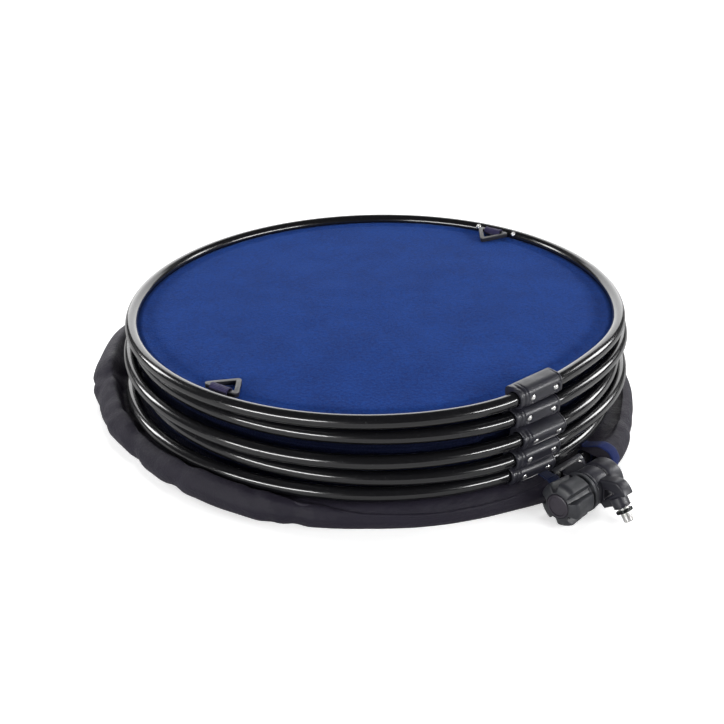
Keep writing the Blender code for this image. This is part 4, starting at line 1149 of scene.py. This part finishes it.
def build_collar():
    start = mouth_bearing(COLLAR_END["right"] + 0.5 * MM)
    end = mouth_bearing(COLLAR_END["left"] - 0.5 * MM) + TURN
    bearings = [start + (end - start) * k / COLLAR_COLUMNS for k in range(COLLAR_COLUMNS + 1)]
    rows, lengths = (list(halves) for halves in zip(*map(collar_row, bearings)))
    for reach, share in END_TUCK:
        rows = [tucked_row("right", 1, reach, share), *rows, tucked_row("left", -1, reach, share)]
        step = TUCK_STEP / COLLAR_RUN
        bearings = [bearings[0] - step, *bearings, bearings[-1] + step]
        lengths = [lengths[0], *lengths, lengths[-1]]
    stretch = COLLAR_LENGTH / (sum(run[-1] for run in lengths) / len(lengths))
    skin = grid_skin(
        rows, False, uvs=lambda row, column: (bearings[row] * COLLAR_RUN, lengths[row][column] * stretch)
    )
    cloth = thicken(skin, COLLAR_THICKNESS)
    collar = show("collar_cloth", cloth, COLLAR_CLOTH, None, ["collar"], smooth=0)
    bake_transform(collar)
    collar_band("right", 1, BLUE_TAPE)
    # The left band is the same tape as the right, but gets the darker hem cloth: painted shade, as it lies in
    # shade beside the lock
    collar_band("left", -1, HEM_AND_SHADED_BAND_CLOTH)
    low_wall()


def collar_band(side, way, material):
    """The band that binds one end of the roll: crowned outside, and turned in under itself."""
    shares = [k / 8 for k in range(9)]
    crowns = [BAND_CROWN * math.sin(math.pi * share) ** 0.5 + BAND_THICKNESS for share in shares]
    rows = []
    for share, crown in zip(shares + [0.85, 0.4, 0.06], crowns + [-TUCKED] * 3):
        rows.append(collar_row(mouth_bearing(COLLAR_END[side] + way * BAND_WIDTH * share), crown, 0.35)[0])
    run = lengths_along([row[20] for row in rows])
    down = lengths_along(rows[4])
    skin = grid_skin(
        rows, False, closed_along=True, uvs=lambda row, column: (run[row % len(run)], down[column])
    )
    band = show(f"collar_binding_{side}", skin, material, None, [f"collar_band_{side}"], smooth=0)
    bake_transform(band)


def low_wall():
    """The collar's edge behind the lock, a low wall inside the mouth ring."""
    start = mouth_bearing(COLLAR_END["left"] - BAND_WIDTH - 4 * MM)
    end = mouth_bearing(COLLAR_END["right"] + BAND_WIDTH + 4 * MM)
    rows, columns, steps = [], 26, 10
    for k in range(columns + 1):
        bearing = start + (end - start) * k / columns
        foot, out = mouth_point(bearing).xy.to_3d(), outward(bearing)
        row = []
        for i in range(steps + 1):
            z = 0.4 * MM + (FLAP_HEIGHT - 0.8 * MM) * i / steps
            bulge = 0.9 * MM * math.sin(math.pi * i / steps) + 0.6 * MM * wander(bearing, z, 5.0, 0.03)
            row.append(foot + UP * z - out * (FLAP_INWARD + bulge))
        rows.append(row)
    skin = grid_skin(rows, False, uvs=lambda row, column: (row * 2.5 * MM, column * 1.8 * MM))
    wall = show("collar_low_wall", thicken(skin, 1.0 * MM), COLLAR_CLOTH, "head", smooth=0)


def build_hem():
    """The cloth sleeve round the mouth ring's tube, lightly gathered, stopping on each side of the lock."""
    start = mouth_bearing(COLLAR_END["right"])
    end = mouth_bearing(COLLAR_END["left"]) + TURN
    columns, around = 360, 24
    turns = [TURN * i / around for i in range(around)]
    rows = []
    for k in range(columns + 1):
        bearing = start + (end - start) * k / columns
        point, out = mouth_point(bearing), outward(bearing)
        row = []
        for angle in turns:
            gather = HEM_GATHER * math.sin(bearing * HEM_GATHERS + 3 * math.sin(angle * 2))
            side = out * math.cos(angle) + UP * math.sin(angle)
            row.append(point + side * (HEM_RADIUS - 0.3 * MM + gather))
        rows.append(row)
    length, girth = (end - start) * PATH_RADIUS, TURN * HEM_RADIUS
    skin = grid_skin(rows, True, uvs=lambda row, column: (length * row / columns, girth * column / around))
    cloth = thicken(skin, 0.6 * MM, -1.0)
    hem = show("head_hem_cloth", cloth, HEM_AND_SHADED_BAND_CLOTH, "head", ["head_hem"], smooth=0)


# Tilting lock, in its own frame: X outward, Y along the pivot, Z up, from the pivot's middle

SERRATION_GAP = 0.4 * MM
# A tooth's radial, tangential and axial size, and how many there are
SERRATION_TOOTH = (2.4 * MM, 1.1 * MM, 2.2 * MM)
SERRATION_TEETH = 44
HOUSING_RADIUS = 18 * MM
HOUSING_LENGTH = 18.5 * MM
SADDLE_WALL = 3.4 * MM
SADDLE_SPAN = (-16 * MM, 26 * MM)
SADDLE_ARC = math.radians(80)
WEB_SPAN = (-12 * MM, 15 * MM)
WEB_HEIGHT = 15 * MM
WEB_END = -7.2 * MM
WEB_BELOW = 5.25 * MM
SCREW_PLACES = {"left": -11 * MM, "right": 19 * MM}
SCREW_RISE = math.radians(36)
ARM_WIDTH = 16 * MM
ARM_RADIUS = 17 * MM
ARM_WEB = 12.5 * MM
# The arm's web in the plane square to the pivot, in millimetres
ARM_TOP = [(38.1, 9.0), (36.6, 11.6), (33.9, 14.5), (30.6, 16.8), (27.0, 17.8), (23.0, 17.2)]
ARM_STRUT = [(15.8, -9.7), (19.2, -12.2), (27.5, -6.2), (29.3, 1.9)]
ARM_WINDOW = [(18.0, -4.2), (28.1, 7.5), (17.4, 7.0)]
STUD_RADIUS = 4.7625 * MM
STUD_ANGLE = math.radians(-52)
STUD_EXPOSED = 13.5 * MM
STUD_SEAT = 9 * MM
THREAD_PITCH = 1.27 * MM
THREAD_DEPTH = 0.28 * MM
THREAD_CHAMFER = 1.1 * MM
BOSS_RADIUS = 7.7 * MM
BOSS_END = (34.4 * MM, -4.8 * MM)
BOSS_LENGTH = 9.5 * MM
LOCK_RING_RADIUS = 7.4 * MM
LOCK_RING_THICKNESS = 2.6 * MM
LOCK_RING_TOOTH = (1.6 * MM, 1.25 * MM, LOCK_RING_THICKNESS * 0.94)
LOCK_RING_TEETH = 18
LOCK_RING_AWAY = 2.2 * MM
WASHER_RADIUS = 17.6 * MM
WASHER_THICKNESS = 3.4 * MM
KNOB_LENGTH = 34.5 * MM
KNOB_LOBES = 5
KNOB_TURN = math.radians(-67)
KNOB_STEP = TURN / KNOB_LOBES
# In millimetres, distance behind the knob's front, and its radius there on a lobe and in a valley
KNOB_SIDE = [(0.0, 12.7, 12.4), (0.5, 14.6, 12.5), (1.5, 17.3, 12.5), (2.8, 19.1, 12.6), (4.5, 20.0, 12.8),
             (6.5, 20.1, 13.2), (9.5, 19.8, 13.8), (14.0, 19.4, 14.4), (26.4, 18.7, 15.4), (27.2, 18.1, 16.0),
             (27.6, 16.6, 15.4), (28.0, 15.2, 15.2), (30.0, 15.2, 15.2), (30.5, 17.6, 17.6),
             (31.1, 18.2, 18.2), (33.2, 18.2, 18.2), (34.0, 17.8, 17.8), (34.5, 16.6, 16.6)]
KNOB_STATION = 0.8 * MM
KNOB_AROUND = 300
VALLEY_HALF = math.radians(15)
VALLEY_FLANK = math.radians(9)
LOBE_HALF = math.radians(22)
LOBE_FLAT = 0.2 * MM
CAP_RADIUS = 10.8 * MM
CAP_THICKNESS = 2.4 * MM
CAP_PROUD = 0.9 * MM
# In millimetres, how far in from the cap's rim and behind its face each point of its front lies
CAP_FACE = [(3.2, 0.6), (2.4, 0.8), (1.9, 0.1), (1.5, 0), (0.7, 0.1), (0, 0.8)]
BOLT_RADIUS = 4 * MM
BOLT_HEAD = 4 * MM
BOLT_HEAD_RADIUS = 6.5 * MM
NUT_RADIUS = 7 * MM
NUT_THICKNESS = 5 * MM
WASHER_END = -SERRATION_GAP - ARM_WIDTH - CLEARANCE
KNOB_END = WASHER_END - WASHER_THICKNESS - CLEARANCE
KNOB_START = KNOB_END - KNOB_LENGTH
CAP_END = KNOB_START + CAP_THICKNESS - CAP_PROUD
BOLT_HOLE = BOLT_RADIUS + CLEARANCE


def on_pivot(profile, sides=96):
    """A (radius, place along the pivot) profile turned about the pivot."""
    return moved(turned(profile, sides), Z_ONTO_Y)


def quarter(size):
    """A quarter round: how far in from a rim and how far behind its face each point lies."""
    turns = [math.pi / 2 * k / 5 for k in range(6)]
    return [(size * (1 - math.sin(a)), size * (1 - math.cos(a))) for a in turns]


def drum(radius, start, end, round_start, round_end, hole=0.0):
    """A round body on the pivot with rounded rims and a bore."""
    first = [(radius - inset, start + behind) for inset, behind in quarter(round_start)]
    last = [(radius - inset, end - behind) for inset, behind in quarter(round_end)]
    return on_pivot([(hole, start), *first, *last[::-1], (hole, end)])


def stud_matrix():
    """Z along the stud and out of it, from the boss's end face."""
    way = Vector((math.cos(STUD_ANGLE), 0, math.sin(STUD_ANGLE)))
    along = Vector((0, 1, 0))
    origin = Vector((BOSS_END[0], -SERRATION_GAP - ARM_WIDTH / 2, BOSS_END[1]))
    return axes_matrix(origin, along.cross(way), along, way)


def block(low, high, bevel=0.0):
    shape = bmesh.new()
    bmesh.ops.create_cube(shape, size=1)
    low, high = Vector(low), Vector(high)
    bmesh.ops.scale(shape, verts=shape.verts, vec=high - low)
    bmesh.ops.translate(shape, verts=shape.verts, vec=(low + high) / 2)
    return carved(mesh_from(shape), bevel=bevel, segments=3)


def rim_teeth(size, count, radius, material):
    """Blocks of this (radial, along the rim, height) size round a rim in the XY plane."""
    half = Vector(size) / 2
    tooth = block(-half, half, 0.15 * MM)
    rim = bpy.data.meshes.new("rim")
    return copied(tooth, rim, RIDGE_TREE, "Tooth", Count=count, Radius=radius, Material=material)


def screw_head():
    """A pan head with a cross recess, its seat at 0 on X."""
    r, h = RIVET_RADIUS, RIVET_HEIGHT
    profile = [(0, h), (r * 0.6, h * 0.95), (r * 0.85, h * 0.74), (r, h * 0.4), (r, 0), (0, 0)]
    long, wide, deep = r * 0.62, 0.35 * MM, h * 0.45
    arms = [block((-x, -y, deep), (x, y, 2 * h)) for x, y in ((long, wide), (wide, long))]
    return moved(carved(turned(profile, 32), cut=arms), Z_ONTO_X)


def drawn_in(outline, size):
    """A closed flat outline moved inward by this much, for an anticlockwise one."""
    count = len(outline)
    drawn = []
    for i in range(count):
        here = Vector(outline[i])
        back = (here - Vector(outline[i - 1])).normalized()
        on = (Vector(outline[(i + 1) % count]) - here).normalized()
        normal = Vector((-back.y - on.y, back.x + on.x)).normalized()
        lean = max(0.5, normal.dot(Vector((-on.y, on.x))))
        drawn.append(here + normal * size / lean)
    return drawn


def slab(outline, thickness, soft, flare=1):
    """A flat outline's solid about the XY plane, its rims rounded, or spread where it cuts a hole."""
    levels = [(inset, behind - thickness / 2) for inset, behind in quarter(soft)]
    levels += [(inset, -height) for inset, height in levels[::-1]]
    rows = [[(*point, height) for point in drawn_in(outline, flare * inset)] for inset, height in levels]
    return grid_skin(rows, True, caps=True)


def lock_part(name, mesh, material, body, stands_for, smooth=35):
    return show(name, moved(mesh, LOCK), material, body, stands_for, smooth)


def build_housing():
    """The half that screws onto the mouth ring: a saddle on the tube, a web and a round head."""
    ring = LOCK.inverted() @ ring_matrix("head_ring") @ joint_matrix("head_ring").translation
    axis = Matrix.Translation((ring.x, 0, ring.z))
    start, end = SADDLE_SPAN
    inner = TUBE_RADIUS + CLEARANCE
    outer = inner + SADDLE_WALL
    shell = arc((0, 0), outer, -SADDLE_ARC, SADDLE_ARC, 36) + arc((0, 0), inner, SADDLE_ARC, -SADDLE_ARC, 36)
    middle = axis @ Matrix.Translation((0, (start + end) / 2, 0))
    saddle = moved(plate([shell], end - start), middle @ Z_AWAY_FROM_Y)
    saddle = carved(saddle, bevel=0.9 * MM, segments=3, angle=50)
    face = SERRATION_GAP
    head = drum(HOUSING_RADIUS, face, face + HOUSING_LENGTH, 2.6 * MM, 4 * MM)
    low = (ring.x + inner + SADDLE_WALL / 2, WEB_SPAN[0], ring.z - WEB_BELOW)
    high = (WEB_END, WEB_SPAN[1], ring.z - WEB_BELOW + WEB_HEIGHT)
    room = cylinder(ARM_RADIUS + 0.8 * MM, 2 * WEB_SPAN[0], face, 96)
    web = carved(block(low, high, 1.2 * MM), cut=[room])
    recesses, screws = [], []
    for along in SCREW_PLACES.values():
        tilt = axis @ Matrix.Translation((0, along, 0)) @ Matrix.Rotation(-SCREW_RISE, 4, "Y")
        screws.append(tilt @ Matrix.Translation((outer - RECESS_DEPTH, 0, 0)))
        recess = cylinder(RECESS_RADIUS, 0, 6 * MM, 36)
        recesses.append(moved(recess, screws[-1] @ Matrix.Rotation(-math.pi / 2, 4, "Z")))
    nut_start = face + HOUSING_LENGTH - NUT_THICKNESS
    pocket = cylinder(NUT_RADIUS + CLEARANCE, nut_start - CLEARANCE, 2 * HOUSING_LENGTH, 6)
    bore = cylinder(BOLT_HOLE, -HOUSING_LENGTH, 2 * HOUSING_LENGTH, 32)
    tube = moved(cylinder(inner, 2 * start, 2 * end), axis)
    body = carved(carved(saddle, added=[web]), added=[head], cut=[tube, *recesses, pocket, bore])
    lock_part("lock_housing_body", body, PLASTIC, "head", ["lock_housing"])
    teeth = rim_teeth(SERRATION_TOOTH, SERRATION_TEETH, ARM_RADIUS - 1.9 * MM, PLASTIC)
    teeth = moved(teeth, Matrix.Translation((0, face + 0.4 * MM, 0)) @ Z_ONTO_Y)
    lock_part("lock_serration", teeth, PLASTIC, "head", ())
    for side, place in zip(SCREW_PLACES, screws):
        screw = moved(screw_head(), place)
        lock_part(f"lock_screw_head_{side}", screw, METAL, "head", [f"lock_screw_{side}"])
    nut = cylinder(NUT_RADIUS, nut_start, nut_start + NUT_THICKNESS, 6)
    nut = carved(nut, cut=[cylinder(BOLT_HOLE, 0, 2 * HOUSING_LENGTH, 32)], bevel=0.4 * MM)
    lock_part("clamp_hexagon_nut", nut, METAL, "head", ["clamp_nut"])


def build_arm():
    """The tilting half: a drum, and a web with a window that ends in the stud's boss."""
    stud = stud_matrix()
    outline = arc((0, 0), ARM_RADIUS - CLEARANCE, math.radians(52), math.radians(326), 60)
    outline += [(x * MM, z * MM) for x, z in ARM_STRUT + ARM_TOP]
    window = rounded([(x * MM, z * MM) for x, z in ARM_WINDOW], 0.9 * MM, 6)
    middle = -1.5 * SERRATION_GAP - ARM_WEB / 2
    turn = Matrix.Translation((0, middle, 0)) @ Z_AWAY_FROM_Y
    web = moved(slab(outline, ARM_WEB, 1.6 * MM), turn)
    hole = moved(slab(window, ARM_WEB + 0.02 * MM, 0.8 * MM, -1), turn)
    web = carved(web, cut=[hole, cylinder(BOLT_HOLE + MM, -2 * ARM_WIDTH, ARM_WIDTH, 48)])
    head = drum(ARM_RADIUS, -SERRATION_GAP - ARM_WIDTH, -SERRATION_GAP, 0.9 * MM, 1.6 * MM, BOLT_HOLE)
    r, groove = BOSS_RADIUS, BOSS_RADIUS - 0.5 * MM
    profile = [(0, -BOSS_LENGTH), (r, -BOSS_LENGTH), (r, -2.6 * MM), (groove, -2.3 * MM), (groove, -1.9 * MM),
               (r, -1.6 * MM), (r, -0.8 * MM), (r - 0.8 * MM, 0), (0, 0)]
    boss = moved(turned(profile, 64), stud)
    r, deep = STUD_RADIUS + CLEARANCE, STUD_SEAT + CLEARANCE
    seat = moved(turned([(0, -deep), (r, -deep), (r, STUD_SEAT), (0, STUD_SEAT)], 48), stud)
    body = carved(carved(carved(web, added=[head]), added=[boss]), cut=[seat])
    lock_part("lock_arm_body", body, PLASTIC, "arm", ["lock_arm"])
    screw = moved(threaded_rod(STUD_RADIUS, -STUD_SEAT, STUD_EXPOSED), stud)
    lock_part("stud_thread", screw, METAL, "arm", ["threaded_stud"], smooth=60)
    washer = drum(WASHER_RADIUS, WASHER_END - WASHER_THICKNESS, WASHER_END, 1.3 * MM, 0.9 * MM, BOLT_HOLE)
    lock_part("clamp_washer", washer, PLASTIC, "arm", ["friction_washer"])
    half, hole = LOCK_RING_THICKNESS / 2, STUD_RADIUS + CLEARANCE
    face, side, level = LOCK_RING_RADIUS - 1.3 * MM, LOCK_RING_RADIUS - 0.8 * MM, half - 0.4 * MM
    profile = [(hole, -half), (face, -half), (side, -level), (side, level), (face, half), (hole, half)]
    teeth = rim_teeth(LOCK_RING_TOOTH, LOCK_RING_TEETH, side, BLACKENED)
    place = stud @ Matrix.Translation((0, 0, half + LOCK_RING_AWAY))
    ring = moved(carved(turned(profile, 72), added=[teeth]), place)
    lock_part("toothed_lock_ring", ring, BLACKENED, "lock_ring", ["lock_ring"], smooth=30)


def threaded_rod(radius, start, end):
    """A rod along Z with a right-hand thread and a chamfered end."""
    around, steps = 36, 10
    count = round((end - start) / THREAD_PITCH * steps)
    rows = []
    for i in range(count + 1):
        z = start + (end - start) * i / count
        row = []
        for k in range(around):
            turn = k / around
            phase = (z / THREAD_PITCH - turn) % 1
            flank = 0.5 + 0.5 * math.cos(TURN * phase)
            tip = min(radius - THREAD_DEPTH * flank, radius - THREAD_CHAMFER + (end - z))
            row.append(Vector((tip * math.cos(TURN * turn), tip * math.sin(TURN * turn), z)))
        rows.append(row)
    return grid_skin(rows, True, caps=True)


def knob_radius(angle, lobe, valley):
    """The knob's side: lobes with a flat to each, and valleys between them."""
    away = abs((angle - KNOB_TURN) % KNOB_STEP - KNOB_STEP / 2)
    share = eased((VALLEY_HALF - away) / VALLEY_FLANK)
    middle = 1 - min(1, (KNOB_STEP / 2 - away) / LOBE_HALF) ** 2
    return lobe + (valley - lobe) * share - LOBE_FLAT * middle * min(1, (lobe - valley) / MM)


def knob_side():
    """The rows of the knob's side in metres, with more between them where they are far apart."""
    rows = [[size * MM for size in row] for row in KNOB_SIDE]
    line = [rows[0]]
    for before, after in zip(rows[:-1], rows[1:]):
        parts = max(1, math.ceil((after[0] - before[0]) / KNOB_STATION))
        line += [[a + (b - a) * k / parts for a, b in zip(before, after)] for k in range(1, parts + 1)]
    return line


def knob_mesh():
    """The knob's shell, its bore and its cap's pocket, from its front back along the pivot."""
    turns = [TURN * k / KNOB_AROUND for k in range(KNOB_AROUND)]
    pocket = CAP_RADIUS + CLEARANCE
    head = BOLT_HEAD_RADIUS + CLEARANCE
    floor = CAP_END + CLEARANCE / 2 - KNOB_START
    head_floor = floor + BOLT_HEAD + CLEARANCE
    rows = [(KNOB_LENGTH, BOLT_HOLE, BOLT_HOLE), (head_floor, BOLT_HOLE, BOLT_HOLE), (head_floor, head, head),
            (floor, head, head), (floor, pocket, pocket), (0.35 * MM, pocket, pocket)]
    rows += [(0.0, pocket + lip, pocket + lip) for lip in (0.25 * MM, 0.9 * MM)]
    skin = []
    for place, lobe, valley in rows + knob_side():
        radii = [lobe if lobe == valley else knob_radius(a, lobe, valley) for a in turns]
        skin.append([(r * math.cos(a), r * math.sin(a), place) for r, a in zip(radii, turns)])
    mesh = grid_skin(skin, True, closed_along=True)
    mirror = Matrix.Scale(-1, 4, (0, 0, 1))
    moved(mesh, Matrix.Translation((0, KNOB_START, 0)) @ Z_AWAY_FROM_Y @ mirror)
    mesh.flip_normals()
    return mesh


def build_knob():
    """The knob with its cap and its bolt, in line along the pivot."""
    lock_part("clamp_knob_body", knob_mesh(), KNOB_PLASTIC, "knob", ["clamp_knob"], smooth=32)
    face = KNOB_START - CAP_PROUD
    profile = [(0, face + 0.5 * MM)]
    profile += [(CAP_RADIUS - inset * MM, face + behind * MM) for inset, behind in CAP_FACE]
    profile += [(CAP_RADIUS, CAP_END), (0, CAP_END)]
    lock_part("knob_end_cap", on_pivot(profile), CAP_PLASTIC, "knob", ["knob_cap"], smooth=40)
    head_start = CAP_END + 2 * CLEARANCE
    head_end = CAP_END + CLEARANCE + BOLT_HEAD
    shank = cylinder(BOLT_RADIUS, head_end - MM, SERRATION_GAP + HOUSING_LENGTH - CLEARANCE, 48)
    bolt = carved(cylinder(BOLT_HEAD_RADIUS, head_start, head_end, 6), added=[shank])
    lock_part("clamp_hexagon_bolt", bolt, METAL, "knob", ["clamp_bolt"])


# Camera, light and floor

WORLD_LIGHT = 0.07
SUN = dict(energy=1.2, angle=math.radians(28))
SUN_WAY = Vector((-0.05, -0.45, -1))
# Each soft lamp's place from the rings' middle, size and power, and whether gloss mirrors it
SOFTBOXES = {
    "front_fill": ((0.0, -1.8, 0.6), (1.4, 0.9), 3, False),
    "backdrop": ((0.0, 3.3, 1.25), (5.2, 2.5), 100, True),
    "left_front_strip": ((-1.22, -1.52, 0.46), (1.4, 0.22), 28, True),
    "right_front_strip": ((1.66, -0.93, 0.62), (1.4, 0.22), 28, True),
    "left_side_strip": ((-1.62, 0.53, 0.80), (0.38, 0.6), 10, True),
    "right_side_strip": ((1.62, 0.53, 0.80), (0.38, 0.6), 10, True),
}
FLOOR_HALF = 6
FLOOR_DROP = 0.2 * MM
# From where to where off the floor grows brighter for the camera
FLOOR_NEAR = 1.6
FLOOR_FAR = 2.8


def camera():
    data = bpy.data.cameras.new("camera")
    data.sensor_width = 36
    data.lens = CAMERA_LENS
    item = in_scene("camera", data)
    ahead = CAMERA_AHEAD.normalized()
    right = (CAMERA_RIGHT - ahead * CAMERA_RIGHT.dot(ahead)).normalized()
    item.matrix_world = axes_matrix(MIDDLE + CAMERA_FROM_MIDDLE, right, right.cross(ahead), -ahead)
    bpy.context.scene.camera = item


def lamp(name, kind, place, way, mirrored, **settings):
    """A lamp that shines this way from a place, seen in gloss if it is mirrored."""
    data = bpy.data.lights.new(name, kind)
    for setting, value in settings.items():
        setattr(data, setting, value)
    item = in_scene(name, data)
    item.location = place
    item.rotation_mode = "QUATERNION"
    item.rotation_quaternion = way.to_track_quat("-Z", "Y")
    item.visible_glossy = mirrored


def studio():
    """A pale world that the camera sees as white, a soft sun, the soft lamps and the floor."""
    world = bpy.data.worlds.new("studio")
    bpy.context.scene.world = world
    world.use_nodes = True
    tree = world.node_tree
    rays = add_node(tree, "ShaderNodeLightPath").outputs
    inputs = {0: rays["Is Camera Ray"], 1: 1 - WORLD_LIGHT, 2: WORLD_LIGHT}
    seen = add_node(tree, "ShaderNodeMath", inputs, operation="MULTIPLY_ADD")
    for name, value in (("Color", (1, 1, 1)), ("Strength", seen.outputs[0])):
        feed(tree, tree.nodes["Background"].inputs[name], value)
    lamp("overhead", "SUN", Vector(), SUN_WAY, False, **SUN)
    for name, (place, (width, height), power, mirrored) in SOFTBOXES.items():
        place = MIDDLE + Vector(place)
        lamp(name, "AREA", place, MIDDLE - place, mirrored, shape="RECTANGLE", size=width, size_y=height,
             energy=power)
    shape = bmesh.new()
    bmesh.ops.create_grid(shape, x_segments=1, y_segments=1, size=FLOOR_HALF)
    bmesh.ops.translate(shape, verts=shape.verts, vec=(0, 0, -FLOOR_DROP))
    floor = in_scene("floor", mesh_from(shape))
    floor.data.materials.append(floor_white())
    bpy.context.scene.view_settings.view_transform = "Standard"


camera()
studio()
build_rings()
base_disc()
for number in range(1, 5):
    net_panel(f"ring_{number}", f"ring_{number + 1}")
build_loops()
build_hem()
build_collar()
build_housing()
build_arm()
build_knob()
